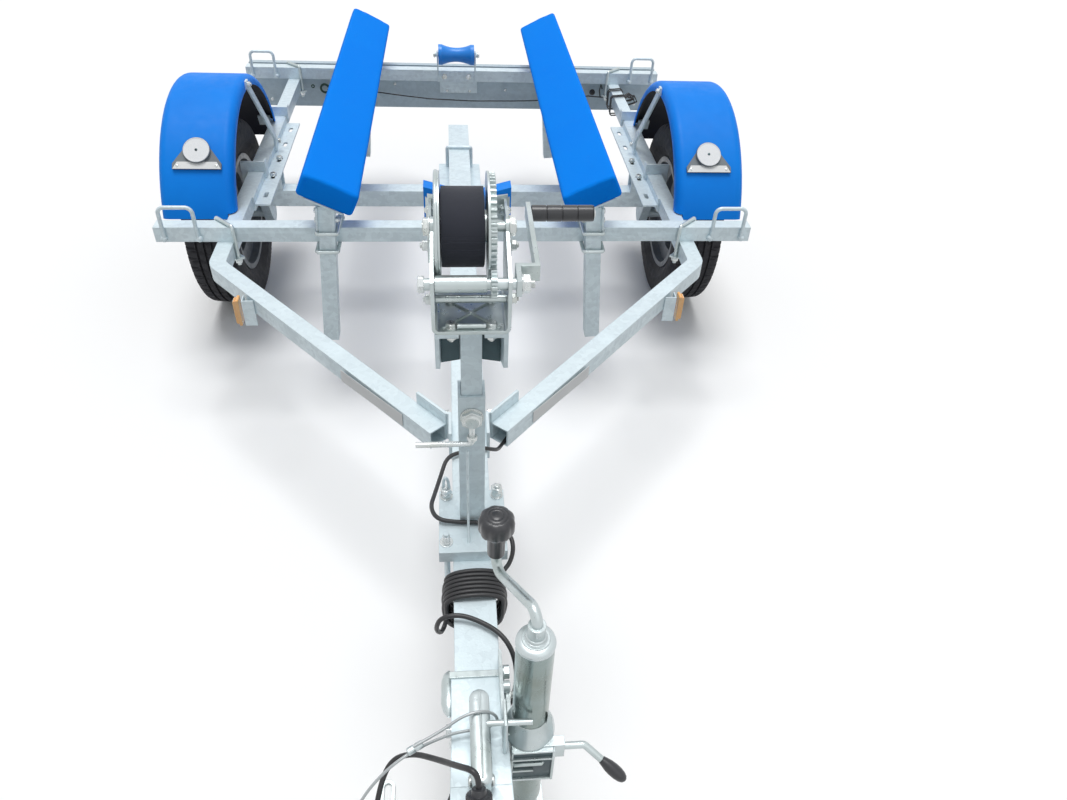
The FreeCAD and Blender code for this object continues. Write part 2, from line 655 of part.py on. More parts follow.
def saddle_shape():
    """The plate between drawbar and axle beam, with the U-bolts that hold it."""
    width, depth, thick = num("saddle_width"), num("saddle_depth"), num("saddle_plate")
    middle, floor, radius = num("axle_y"), num("draw_floor"), num("rod") / 2
    plate = Part.makeBox(width, depth, thick, Vector(-width / 2, middle - depth / 2, floor))
    plate = plate.cut(Part.makeBox(
        num("draw_side"), depth + 2, thick + 2,
        Vector(-num("draw_side") / 2, middle - depth / 2 - 1, floor - 1)))
    shift = num("band_pitch") / 2
    half = num("draw_side / 2 + bolt_gap") + radius
    high = num("rail_top + bolt_gap") + radius
    bands = [u_bolt(half, middle + side * shift, floor - 2 * radius, high) for side in (-1, 1)]
    tie = Part.makeBox(2 * half + 4 * radius, 2 * num("rod"), num("band_tie"))
    ties = []
    for side in (-1, 1):
        low = tie.copy()
        low.translate(Vector(-half - 2 * radius, middle + side * shift - num("rod"), floor - num("band_tie")))
        ties.append(low)
    return plate.fuse(bands + ties).removeSplitter()


node("axle_saddle", shaped("saddle", saddle_shape()))

# ---- axle ----------------------------------------------------------------------------------------
beam_outer = block(
    "beam_outer",
    ("2 * axle_half", "axle_side", "axle_side"),
    ("0 - axle_half", "axle_y - axle_side / 2", "axle_z - axle_side / 2"),
)
beam_inner = block(
    "beam_inner",
    ("2 * axle_half + 2", "axle_side - 2 * draw_wall", "axle_side - 2 * draw_wall"),
    ("0 - axle_half - 1", "axle_y - axle_side / 2 + draw_wall", "axle_z - axle_side / 2 + draw_wall"),
)
node("axle_beam", cut("beam_tube", beam_outer, beam_inner))


def stadium(length, width, height, middle):
    """A slot-shaped solid along Y."""
    radius = width / 2
    run = length / 2 - radius
    face = face_of(
        (radius, -run),
        [(radius, run), (0, run + radius, -radius, run), (-radius, -run), (0, -run - radius, radius, -run)],
    )
    solid = face.extrude(Vector(0, 0, height))
    solid.translate(middle)
    return solid


def flange_shape():
    """The right axle flange: an angle on the rail's inner face, its slots, and the bracket on the beam."""
    plate, width = num("flange_plate"), num("flange_width")
    start, length = num("bar_y + flange_start"), num("flange_length")
    edge = num("rail_inner")
    level = num("rail_top - flange_drop")
    wall = Part.makeBox(plate, length, num("tube_side"), Vector(edge - plate, start, num("rail_floor")))
    shelf = Part.makeBox(width, length, plate, Vector(edge - width, start, level - plate))
    body = wall.fuse(shelf)
    slots = int((length - num("slot_length")) // num("slot_pitch")) + 1
    first = start + (length - (slots - 1) * num("slot_pitch")) / 2
    for index in range(slots):
        place = Vector(edge - (width + plate) / 2, first + index * num("slot_pitch"), level - 2 * plate)
        body = body.cut(stadium(num("slot_length"), num("slot_width"), 3 * plate, place))
    low = num("axle_z + axle_side / 2")
    for shift in (-num("axle_side") / 2, num("axle_side") / 2 - plate):
        web = Part.makeBox(
            width, plate, level - plate - low, Vector(edge - width, num("axle_y") + shift, low)
        )
        body = body.fuse(web)
    foot = Part.makeBox(
        width, num("axle_side"), plate, Vector(edge - width, num("axle_y - axle_side / 2"), low)
    )
    return body.fuse(foot).removeSplitter()


node("axle_flanges", both_sides("flange_angles", flange_shape()))


def swing_arm_shape():
    """The right swing arm with its wheel stub."""
    inner = num("axle_half")
    thick = num("arm_plate")
    pivot = Vector(inner, num("axle_y"), num("axle_z"))
    hub = Vector(inner, num("wheel_y"), num("tyre_radius"))
    ends = [Part.makeCylinder(num("arm_eye"), thick, end, Vector(1, 0, 0)) for end in (pivot, hub)]
    along = (hub - pivot).normalize()
    off = Vector(0, -along.z, along.y) * num("arm_eye")
    web = Part.Face(Part.makePolygon([pivot + off, hub + off, hub - off, pivot - off, pivot + off]))
    web = web.extrude(Vector(thick, 0, 0))
    stub = Part.makeCylinder(
        num("stub_radius"), num("stub_reach"), hub + Vector(thick, 0, 0), Vector(1, 0, 0)
    )
    return web.fuse(ends + [stub]).removeSplitter()


node("swing_arms", both_sides("swing_arm_pair", swing_arm_shape()))


def spun(face, turn=360.0, start=0.0):
    """A face drawn as x along the axle and y outwards, turned about X."""
    solid = face.revolve(Vector(), Vector(1, 0, 0), turn)
    if solid.Volume < 0:
        solid.reverse()
    solid.rotate(Vector(), Vector(1, 0, 0), start)
    return solid


def rim_shape():
    """The right rim with its hub, about the X axis, outer side towards +X."""
    half = num("rim_width") / 2
    seat, lip, sheet = num("rim_radius"), num("rim_lip"), num("rim_sheet")
    face = num("rim_offset")
    well = seat - 3 * lip
    barrel = face_of(
        (-half, seat + lip),
        [
            (-half + sheet, seat + lip), (-half + sheet, seat), (-half / 2, seat), (-half / 3, well),
            (half / 3, well),
            (half / 2, seat), (half - sheet, seat), (half - sheet, seat + lip), (half, seat + lip),
            (half, seat - sheet), (half / 2 + sheet, seat - sheet), (half / 3 + sheet, well - sheet),
            (-half / 3 - sheet, well - sheet), (-half / 2 - sheet, seat - sheet), (-half, seat - sheet),
        ],
    )
    flange, bore = num("hub_flange"), num("stub_radius + bearing_gap")
    disc = face_of(
        (face, num("cap_radius")),
        [
            (face, flange), (face + 4 * sheet, flange + 3 * sheet), (0, well - sheet / 2),
            (-sheet, well - sheet / 2),
            (face + 3 * sheet, flange + 2 * sheet - sheet), (face - sheet, flange),
            (face - sheet, num("cap_radius")),
        ],
    )
    cap_end = face + num("cap_length")
    cap_floor = num("axle_half + arm_plate + stub_reach - wheel_spread") + num("bearing_gap")
    hub = face_of(
        (face - num("hub_length"), bore),
        [
            (face - num("hub_length"), num("hub_radius")), (face - 3 * sheet, num("hub_radius")),
            (face - 3 * sheet, flange), (face - sheet, flange), (face - sheet, num("cap_radius")),
            (cap_end - sheet, num("cap_radius")), (cap_end, num("cap_radius") - sheet), (cap_end, 0),
            (cap_floor, 0), (cap_floor, bore),
        ],
    )
    vents = []
    for index in range(int(num("vent_count"))):
        turn = 2 * math.pi * index / num("vent_count")
        place = Vector(-2 * sheet, num("vent_ring") * math.cos(turn), num("vent_ring") * math.sin(turn))
        vents.append(Part.makeCylinder(num("vent_radius"), face + 4 * sheet, place, Vector(1, 0, 0)))
    return spun(barrel).fuse([spun(disc).cut(vents), spun(hub)])


def tyre_shape():
    """The right tyre, hollow and open to its rim."""
    half, outer, wall = num("tyre_width") / 2, num("tyre_radius"), num("tyre_wall")
    bead = num("rim_width / 2 - rim_sheet - bead_gap")
    foot, lip = num("rim_radius + seat_gap"), num("rim_radius + rim_lip + bead_gap")
    side = (outer + lip) / 2
    inset = num("tyre_inset")
    shoulder = outer - num("tyre_shoulder")
    crown = outer - wall / 5
    tread = half * num("tread_share")
    edge = (half - 1.6 * inset, outer - 0.8 * wall)
    face = face_of(
        (-bead, foot),
        [
            (-bead, lip), (-half, side, inset - half, shoulder), (-edge[0], edge[1], -tread, crown - 1),
            (0, outer, tread, crown - 1), (*edge, half - inset, shoulder), (half, side, bead, lip),
            (bead, foot), (bead - wall, foot), (bead - wall, lip + wall / 2),
            (half - wall, side, half - inset - wall, shoulder - wall / 2), (tread - wall, crown - wall),
            (wall - tread, crown - wall), (inset - half + wall, shoulder - wall / 2),
            (-half + wall, side, -bead + wall, lip + wall / 2), (-bead + wall, foot),
        ],
    )
    return spun(face)


hub_place = ("wheel_spread", "wheel_y", "tyre_radius")
for label, shape in (("rim", rim_shape()), ("tyre", tyre_shape())):
    for hand, side in SIDES:
        piece = shaped(f"{label}_{hand}_turned", shape if side > 0 else mirrored(shape))
        node(f"{label}_{hand}", put(piece, (f"{side} * wheel_spread", "wheel_y", "tyre_radius")))

# ---- mudguards -----------------------------------------------------------------------------------

def guard_shape():
    """A mudguard about the X axis: a band with rounded shoulders and side lips."""
    half, outer, sheet = num("guard_width") / 2, num("guard_radius"), num("guard_sheet")
    curve, low = num("guard_round"), num("guard_radius - guard_lip")
    bow = curve * (1 - math.sqrt(0.5))
    inner_curve = curve - sheet
    inner_bow = sheet + inner_curve * (1 - math.sqrt(0.5))
    face = face_of(
        (-half, low),
        [
            (-half, outer - curve), (-half + bow, outer - bow, -half + curve, outer), (half - curve, outer),
            (half - bow, outer - bow, half, outer - curve), (half, low), (half - sheet, low),
            (half - sheet, outer - curve), (half - inner_bow, outer - inner_bow, half - curve, outer - sheet),
            (-half + curve, outer - sheet),
            (-half + inner_bow, outer - inner_bow, -half + sheet, outer - curve),
            (-half + sheet, low),
        ],
    )
    return spun(face, num("guard_sweep_angle"), 180 - num("guard_start_angle") - num("guard_sweep_angle"))


def notched_guard():
    """A right mudguard, notched where its inner lip would meet the rail."""
    band = guard_shape()
    size = 2 * num("guard_radius")
    past = num("rail_outer + guard_clear - guard_spread")
    level = num("rail_top + guard_clear - guard_height")
    return band.cut(Part.makeBox(size, 2 * size, size, Vector(past - size, -size, level - size)))


for hand, side in SIDES:
    band = notched_guard()
    guard = shaped(f"mudguard_{hand}_band", band if side > 0 else mirrored(band))
    node(f"mudguard_{hand}", put(guard, (f"{side} * guard_spread", "guard_y", "guard_height")))


def guard_point(angle, radius):
    """A place on the mudguards' circle: degrees above level at the front."""
    turn = math.radians(angle)
    return num("guard_y") - radius * math.cos(turn), num("guard_height") + radius * math.sin(turn)


def stirrup_shapes():
    """Right-hand stirrups over the rail."""
    plate, width, rise = num("stirrup_plate"), num("stirrup_width"), num("stirrup_rise")
    inside, reach = num("rail_inner - flange_plate") - plate, num("stirrup_reach - tube_side / 2")
    shelf = num("rail_top - flange_drop")
    pieces = []
    for back in ("stirrup_back", "stirrup_back + stirrup_pitch"):
        y = num(f"bar_y + {back}")
        web = Part.makeBox(
            num("rail_outer") + reach - inside, plate, rise, Vector(inside, y, num("rail_top"))
        )
        leg = Part.makeBox(plate, width, num("flange_drop") + rise, Vector(inside, y, shelf))
        drop = Part.makeBox(reach, plate, num("tube_side"), Vector(num("rail_outer"), y, num("rail_floor")))
        pieces.append(web.fuse([leg, drop]).removeSplitter())
    return pieces


def stay_shape():
    """The right-hand strut from the mudguard's inner lip down to the rail's inner face."""
    plate, width = num("stirrup_plate"), num("stay_width")
    lip = num("guard_spread - guard_width / 2")
    y_top, z_top = guard_point(num("stay_angle"), num("guard_radius - guard_lip / 2"))
    inside = num("rail_inner - flange_plate") - plate
    knee = Vector(inside, num("bar_y + stay_back"), num("rail_top + stirrup_rise"))
    along = Vector(lip - plate, y_top, z_top) - knee
    strut = Part.makeBox(plate, width, along.Length, Vector(0, -width / 2, 0))
    strut.Placement = Placement(knee, Rotation(Vector(1, 0, 0), Vector(), along, "ZXY"))
    ear = Part.makeBox(plate, width, width, Vector(lip - plate, y_top - width / 2, z_top - width / 2))
    leg = Part.makeBox(plate, width, num("flange_drop + stirrup_rise"), Vector(
        inside, knee.y - width / 2, num("rail_top - flange_drop")))
    return strut.fuse([ear, leg]).removeSplitter()


def tab_shape(angle):
    """A right-hand tab from the rail's outer face under an end of the mudguard."""
    plate, length = num("stirrup_plate"), num("tab_length")
    under = num("guard_radius - guard_sheet - tab_gap") - plate
    tab = Part.makeBox(num("tab_reach"), plate, length, Vector(num("rail_outer"), under, -length / 2))
    tab.rotate(Vector(), Vector(1, 0, 0), 180 - angle)
    tab.translate(Vector(0, num("guard_y"), num("guard_height")))
    return tab


carriers = stirrup_shapes() + [stay_shape(), tab_shape(num("tab_angle")), tab_shape(180 - num("tab_angle"))]
node(
    "guard_brackets",
    shaped("bracket_rods", Part.makeCompound(carriers + [mirrored(one) for one in carriers]))
)


def reflector_shape():
    """A right-hand round reflector on its plate, square to the mudguard."""
    radius, thick, sheet_size = num("reflector_radius"), num("reflector_plate"), num("backing_sheet")
    disc = Part.makeCylinder(radius, thick, Vector(0, 0, sheet_size), Vector(0, 0, 1))
    wide, top = num("backing_width") / 2, num("backing_top") / 2
    low, high = -num("backing_low"), num("backing_high")
    edge = low + num("backing_edge")
    base = face_of((-wide, low), [(wide, low), (wide, edge), (top, high), (-top, high), (-wide, edge)])
    base = base.extrude(Vector(0, 0, sheet_size))
    piece = disc.fuse(base)
    angle = num("reflector_angle")
    y, z = guard_point(angle, num("guard_radius + seat_gap"))
    turn = Rotation(Vector(1, 0, 0), 90 - angle)
    piece.Placement = Placement(Vector(num("guard_spread - reflector_shift"), y, z), turn)
    return piece


node("guard_reflectors", both_sides("reflector_pair", reflector_shape()))

# ---- bunks ---------------------------------------------------------------------------------------
def bunk_frame():
    """Place and turn of the right bunk: x across, y along, z up from the middle of its top."""
    middle = Vector(num("bunk_spread"), num("rear_end - bunk_length / 2"), num("bunk_height"))
    return Placement(middle, Rotation(Vector(0, 1, 0), -num("bunk_tilt")))


def bunk_shape():
    """The right bunk, a padded board with rounded long edges, its inner edge lower."""
    half, low, curve = num("bunk_width") / 2, -num("bunk_thick"), num("bunk_round")
    bow = curve * (1 - math.sqrt(0.5))
    face = face_of(
        (-half + curve, 0),
        [
            (half - curve, 0), (half - bow, -bow, half, -curve), (half, low + curve),
            (half - bow, low + bow, half - curve, low), (-half + curve, low),
            (-half + bow, low + bow, -half, low + curve), (-half, -curve),
            (-half + bow, -bow, -half + curve, 0),
        ],
    )
    length = num("bunk_length")
    solid = face.extrude(Vector(0, 0, length))
    solid.rotate(Vector(), Vector(1, 0, 0), 90)
    solid.translate(Vector(0, length / 2, 0))
    solid.Placement = bunk_frame().multiply(solid.Placement)
    return solid


for hand, side in SIDES:
    board = bunk_shape()
    node(f"bunk_{hand}", shaped(f"bunk_{hand}_pad", board if side > 0 else mirrored(board)))


def post_frame(front):
    """Place and turn of a right bunk post: origin in its rear face, level with the crossbar's top."""
    return Placement(
        Vector(num("post_spread"), num(front), num("bar_top")), Rotation(Vector(0, 1, 0), -num("post_lean"))
    )


def post_shape(front):
    """A right bunk post, a square tube clamped to a crossbar's front face."""
    side, wall = num("tube_side"), num("tube_wall")
    height = num("post_below + post_above")
    outer = Part.makeBox(side, side, height, Vector(-side / 2, -side, -num("post_below")))
    inner = Part.makeBox(
        side - 2 * wall, side - 2 * wall, height + 2,
        Vector(wall - side / 2, wall - side, -num("post_below") - 1)
    )
    tube = outer.cut(inner)
    tube.Placement = post_frame(front)
    over = 4 * num("bunk_width")
    above = Part.makeBox(
        over, over, over, Vector(-over / 2, -over / 2, -num("bunk_thick + seat_gap + bracket_plate"))
    )
    frame = bunk_frame()
    frame.Base = Vector(frame.Base.x, num(front), frame.Base.z)
    above.Placement = frame
    return tube.cut(above)


def bracket_shape(front):
    """A right bunk bracket: a plate under the bunk and a leg beside the post."""
    plate, width = num("bracket_plate"), num("bracket_width")
    low = -num("bunk_thick + seat_gap") - plate
    seat = Part.makeBox(num("bracket_wing"), width, plate, Vector(-num("bracket_wing") / 2, 0, low))
    frame = bunk_frame()
    y_front = num(front) - num("tube_side") - (width - num("tube_side")) / 2
    frame.Base = Vector(frame.Base.x, y_front, frame.Base.z)
    seat.Placement = frame
    leg = Part.makeBox(
        plate, width, num("bracket_leg"),
        Vector(num("tube_side") / 2, 0, num("post_above") - num("bracket_leg"))
    )
    place = post_frame(front)
    place.Base = Vector(place.Base.x, y_front, place.Base.z)
    leg.Placement = place
    return seat.fuse(leg).removeSplitter()


def post_clamp_shape(front):
    """The rods that hold a right bunk post to the crossbar, above and below it."""
    radius = num("rod") / 2
    gap = num("bolt_gap")
    half = num("tube_side") / 2 / math.cos(math.radians(num("post_lean"))) + radius + 2 * gap
    y_front = num(front) - num("tube_side") - radius - gap
    y_back = num(front) + num("tube_side") + num("rod")
    pieces = []
    for level in (radius + gap, -num("tube_side") - radius - gap):
        x = num("post_spread") - math.tan(math.radians(num("post_lean"))) * level
        z = num("bar_top") + level
        points = [
            Vector(x - half, y_back, z), Vector(x - half, y_front, z),
            Vector(x + half, y_front, z), Vector(x + half, y_back, z),
        ]
        pieces.append(round_bar(points, radius, radius + 1))
    return pieces


posts = [post_shape("bar_y"), post_shape("rear_y")]
node("bunk_posts", shaped("post_set", Part.makeCompound(posts + [mirrored(one) for one in posts])))
brackets = [bracket_shape("bar_y"), bracket_shape("rear_y")]
node(
    "bunk_brackets", shaped("bracket_set", Part.makeCompound(brackets + [mirrored(one) for one in brackets]))
)
clamps = [clamp_shape("bar_y"), clamp_shape("rear_y")]
clamps += post_clamp_shape("bar_y") + post_clamp_shape("rear_y")
node("crossbar_clamps", shaped("clamp_rods", Part.makeCompound(clamps + [mirrored(one) for one in clamps])))

# ---- rear ----------------------------------------------------------------------------------------

board_corner = ("0 - bar_length / 2", "board_y", "board_top - board_drop")
board_outer = block("board_outer", ("bar_length", "board_lip", "board_drop"), board_corner)
board_inner = block(
    "board_inner",
    ("bar_length + 2", "board_lip", "board_drop - 2 * board_sheet"),
    ("0 - bar_length / 2 - 1", "board_y + board_sheet", "board_top - board_drop + board_sheet"),
)
spacers = [
    rod(
        f"board_spacer_{index}", "board_bolt", "board_gap",
        (f"{share} * bar_length", "rear_y + tube_side", "rail_top + tube_side / 2"), "y"
    )
    for index, share in enumerate((-0.33, -0.12, 0.12, 0.33))
]
node("light_board", fuse("board_with_spacers", [cut("board_channel", board_outer, board_inner)] + spacers))

lamps = []
for hand, side in SIDES:
    x_low = "bar_length / 2 - lamp_inset - lamp_length" if side > 0 else "lamp_inset - bar_length / 2"
    lamps.append(block(
        f"lamp_{hand}",
        ("lamp_length", "lamp_depth", "lamp_height"),
        (x_low, "board_y + board_sheet", "board_top - board_drop / 2 - lamp_height / 2"),
    ))
lamp_pair = doc.addObject("Part::Compound", "lamp_pair")
lamp_pair.Links = lamps
node("rear_lamps", lamp_pair)


def roller_shape():
    """The keel roller about the X axis, waisted, bored for its pin."""
    half, end, waist = num("roller_length") / 2, num("roller_radius"), num("roller_waist")
    bore = num("roller_pin + pin_gap")
    face = face_of(
        (-half, bore),
        [(-half, end), (-half * 0.8, end), (0, waist, half * 0.8, end), (half, end), (half, bore)],
    )
    return spun(face)


node("keel_roller", put(shaped("roller_spool", roller_shape()), (0, "roller_y", "roller_z")))


def roller_bracket_shape():
    """The keel roller's U bracket with its pin, on the rear crossbar's front face."""
    plate, half = num("fork_plate"), num("roller_length") / 2 + num("fork_gap")
    eye, crown, end = num("fork_eye"), num("fork_crown"), num("fork_end")
    y, z = num("roller_y"), num("roller_z")
    front, low = num("rear_y"), num("rail_top")
    wide = half + plate
    back = Part.makeBox(2 * wide, plate, num("tube_side"), Vector(-wide, front - plate, low))
    pieces = [back]
    for x in (-wide, half):
        cheek = Part.Face(Part.makePolygon([
            Vector(x, front, low), Vector(x, front - plate, low), Vector(x, y - eye, z),
            Vector(x, y - eye * 0.6, z + crown), Vector(x, y + eye * 0.6, z + crown), Vector(x, y + eye, z),
            Vector(x, front, num("bar_top")), Vector(x, front, low),
        ]))
        pieces.append(cheek.extrude(Vector(plate, 0, 0)))
    pin = Part.makeCylinder(num("roller_pin"), 2 * (wide + end), Vector(-wide - end, y, z), Vector(1, 0, 0))
    return pieces[0].fuse(pieces[1:] + [pin]).removeSplitter()


node("roller_bracket", shaped("roller_fork", roller_bracket_shape()))

# ---- winch post ----------------------------------------------------------------------------------
base_corner = ("0 - base_width / 2", "mast_y - base_ahead", "rail_top")
base_outer = block("base_outer", ("base_width", "base_length", "base_rise"), base_corner)
base_inner = block(
    "base_inner",
    ("base_width + 2", "base_length - 2 * base_sheet", "base_rise - base_sheet"),
    ("0 - base_width / 2 - 1", "mast_y - base_ahead + base_sheet", "rail_top"),
)
base_plate = cut("base_plate", base_outer, base_inner)
socket_outer = block(
    "socket_outer",
    ("socket_side", "socket_side", "socket_top - rail_top"),
    ("0 - socket_side / 2", "mast_y", "rail_top"),
)
socket_inner = block(
    "socket_inner",
    ("mast_side + 2 * mast_gap", "mast_side + 2 * mast_gap", "socket_top - rail_top + 2"),
    ("0 - mast_side / 2 - mast_gap", "mast_mid_y - mast_side / 2 - mast_gap", "rail_top - 1"),
)
studs = []
for name, back in (("front", "0 - base_ahead * 2 / 3"), ("rear", "socket_side + stud_back")):
    y = num(f"mast_y + {back}")
    studs.append(shaped(f"{name}_studs", u_bolt(
        num("stud_spread"), y, num("rail_top + stud_rise"), num("draw_floor - rod / 2 - bolt_gap"))))
base_and_socket = fuse("base_and_socket", [base_plate, socket_outer] + studs)
node("winch_post_socket", cut("socket_bored", base_and_socket, socket_inner))


def mast_shape():
    """The winch post's inner tube and the bracket that carries the winch, open at the front."""
    side, wall, foot, top = num("mast_side"), num("tube_wall"), num("rail_top"), num("mast_top")
    middle, front = num("mast_mid_y"), num("winch_y")
    outer = Part.makeBox(side, side, top - foot, Vector(-side / 2, middle - side / 2, foot))
    inner_side = side - 2 * wall
    inner = Part.makeBox(
        inner_side, inner_side, top - foot + 2, Vector(-inner_side / 2, middle - inner_side / 2, foot - 1)
    )
    half, deep, sheet_size = num("head_width") / 2, num("head_depth"), num("head_sheet")
    slot, slot_depth = num("head_slot"), num("head_slot_depth")
    plate = Part.makeBox(2 * half, deep, sheet_size, Vector(-half, front, top))
    notch = Part.makeBox(slot, slot_depth + 1, sheet_size + 2, Vector(-slot / 2, front - 1, top - 1))
    wall_front = middle + side / 2
    wall_back = wall_front + sheet_size
    low, deepest = top - num("head_drop"), top - num("head_back")
    pieces = [plate.cut(notch)]
    for x in (-half, half - sheet_size):
        cheek = Part.Face(Part.makePolygon([
            Vector(x, front, top), Vector(x, wall_back, top), Vector(x, wall_back, deepest),
            Vector(x, front, low),
            Vector(x, front, top),
        ]))
        pieces.append(cheek.extrude(Vector(sheet_size, 0, 0)))
    rear = face_of(
        (-half, top), [(half, top), (half, deepest), (0, deepest + num("head_bow"), -half, deepest)]
    )
    rear = rear.extrude(Vector(0, 0, sheet_size))
    rear.rotate(Vector(), Vector(1, 0, 0), 90)
    rear.translate(Vector(0, wall_back, 0))
    return outer.cut(inner).fuse(pieces + [rear]).removeSplitter()


node("winch_post", shaped("mast", mast_shape()))


def screw_shape():
    """The post's clamp screw: from the socket's front face down and across to the left."""
    y, z, radius = num("mast_y"), num("handle_height"), num("handle_thick")
    stand, drop = num("handle_stand"), num("handle_drop")
    head = Part.makeCylinder(num("handle_head"), stand, Vector(0, y, z), Vector(0, -1, 0))
    line = y - stand + radius + 1
    points = [Vector(0, line, z), Vector(0, line, z - drop), Vector(-num("handle_reach"), line, z - drop)]
    return head.fuse(round_bar(points, radius, radius + 2)).removeSplitter()


node("post_clamp_handle", shaped("screw", screw_shape()))

# ---- winch ---------------------------------------------------------------------------------------

def winch_frame_shape():
    """The winch's base and side plates, bent from one sheet, with the drum's axle."""
    half, sheet_size, bend = num("winch_width") / 2, num("winch_sheet"), num("winch_bend")
    floor, front, deep = num("winch_floor"), num("winch_y"), num("winch_depth")
    axis_y, axis_z, crown = num("drum_y"), num("drum_height"), num("winch_crown")
    inner, inner_bend = half - sheet_size, bend - sheet_size
    high = 2 * axis_z
    bow, inner_bow = bend * (1 - math.sqrt(0.5)), sheet_size + inner_bend * (1 - math.sqrt(0.5))
    section = face_of(
        (bend - half, 0),
        [
            (half - bend, 0), (half - bow, bow, half, bend), (half, high), (inner, high), (inner, bend),
            (half - inner_bow, inner_bow, half - bend, sheet_size), (bend - half, sheet_size),
            (inner_bow - half, inner_bow, -inner, bend), (-inner, high), (-half, high), (-half, bend),
            (bow - half, bow, bend - half, 0),
        ],
    )
    sheet_metal = section.extrude(Vector(0, 0, deep))
    sheet_metal.rotate(Vector(), Vector(1, 0, 0), 90)
    sheet_metal.translate(Vector(0, front + deep, floor))
    rear, base_rear = front + deep, front + num("head_depth")
    outline = face_of(
        (front, floor),
        [
            (front, num("pinion_z + winch_brow")), (axis_y - crown, axis_z),
            (axis_y, axis_z + crown, axis_y + crown, axis_z),
            (rear, axis_z - num("winch_fall")), (rear, axis_z - num("winch_heel")), (base_rear, floor),
        ],
    )
    outline = outline.extrude(Vector(0, 0, 2 * half + 2))
    outline.rotate(Vector(), Vector(1, 1, 1), 120)
    outline.translate(Vector(-half - 1, 0, 0))
    end = num("axle_end")
    axle = Part.makeCylinder(
        num("drum_axle"), 2 * (half + end), Vector(-half - end, axis_y, axis_z), Vector(1, 0, 0)
    )
    bore = num("shaft_radius + bearing_gap")
    hole = Part.makeCylinder(
        bore, 2 * half + 2, Vector(-half - 1, num("pinion_y"), num("pinion_z")), Vector(1, 0, 0)
    )
    return sheet_metal.common(outline).fuse(axle).cut(hole).removeSplitter()


node("winch_frame", shaped("winch_plates", winch_frame_shape()))


def gear_face(teeth, pitch, play):
    """A gear's outline in the YZ plane, with straight-sided teeth, centred on the origin."""
    module = 2 * pitch / teeth
    tip, root = pitch + 0.8 * module - play / 2, pitch - 1.1 * module
    points = []
    for index in range(teeth):
        middle = 2 * math.pi * index / teeth
        step = 2 * math.pi / teeth
        for shift, radius in ((-0.27, root), (-0.13, tip), (0.13, tip), (0.27, root)):
            angle = middle + shift * step
            points.append(Vector(0, radius * math.cos(angle), radius * math.sin(angle)))
    return Part.Face(Part.makePolygon(points + points[:1]))


def drum_shape():
    """The winch's drum about the X axis: core, two flanges and the gear beside the right one."""
    middle, half = num("drum_shift"), num("strap_width / 2 + strap_gap")
    sheet_size, core = num("drum_sheet"), num("drum_core")
    axis = Vector(1, 0, 0)
    pieces = []
    for x in (middle - half - sheet_size, middle + half):
        pieces.append(Part.makeCylinder(num("drum_flange"), sheet_size, Vector(x, 0, 0), axis))
    gear = gear_face(int(num("gear_teeth")), num("gear_pitch"), num("tooth_gap"))
    gear = gear.extrude(Vector(num("gear_width"), 0, 0))
    gear.rotate(Vector(), axis, 180 + num("pinion_angle"))
    gear.translate(Vector(middle + half + sheet_size, 0, 0))
    barrel = Part.makeCylinder(
        core, 2 * half + 2 * sheet_size, Vector(middle - half - sheet_size, 0, 0), axis
    )
    body = barrel.fuse(pieces + [gear])
    reach = num("winch_width")
    bore = Part.makeCylinder(num("drum_axle + bearing_gap"), 2 * reach, Vector(-reach, 0, 0), axis)
    return body.cut(bore).removeSplitter()


node("winch_drum", put(shaped("drum", drum_shape()), (0, "drum_y", "drum_height")))


def strap_shape():
    """The strap rolled on the drum."""
    width = num("strap_width")
    start = Vector(num("drum_shift") - width / 2, 0, 0)
    roll = Part.makeCylinder(num("strap_radius"), width, start, Vector(1, 0, 0))
    core = Part.makeCylinder(
        num("drum_core + strap_gap"), width + 2, start - Vector(1, 0, 0), Vector(1, 0, 0)
    )
    return roll.cut(core)


node("strap_roll", put(shaped("rolled_strap", strap_shape()), (0, "drum_y", "drum_height")))


def crank_shape():
    """The crank about the X axis: shaft, pinion, offset arm towards the rear, and the grip's pin."""
    half, radius = num("winch_width") / 2, num("shaft_radius")
    axis = Vector(1, 0, 0)
    arm_x = num("crank_x")
    left = half + num("shaft_end")
    shaft = Part.makeCylinder(radius, left + arm_x + num("crank_sheet"), Vector(-left, 0, 0), axis)
    pinion = gear_face(int(num("pinion_teeth")), num("pinion_radius"), num("tooth_gap"))
    pinion = pinion.extrude(Vector(num("gear_width"), 0, 0))
    pinion.rotate(Vector(), axis, num("pinion_angle") + 180 / num("pinion_teeth"))
    pinion.translate(Vector(num("gear_x"), 0, 0))
    bar, thick, step = num("crank_bar"), num("crank_sheet"), num("crank_step")
    tail = Part.makeBox(thick, bar * 1.5, bar, Vector(arm_x, -bar / 2, -bar / 2))
    bridge = Part.makeBox(step + thick, thick, bar, Vector(arm_x, bar, -bar / 2))
    arm = Part.makeBox(thick, num("crank_arm") - bar / 2, bar, Vector(arm_x + step, bar, -bar / 2))
    pin_length = thick + num("grip_gap + grip_length + grip_end")
    pin = Part.makeCylinder(num("grip_pin"), pin_length, Vector(arm_x + step, num("crank_arm"), 0), axis)
    lever = tail.fuse([bridge, arm, pin])
    lever.rotate(Vector(), axis, num("crank_angle"))
    return shaft.fuse([pinion, lever]).removeSplitter()


node("winch_crank", put(shaped("crank", crank_shape()), (0, "pinion_y", "pinion_z")))


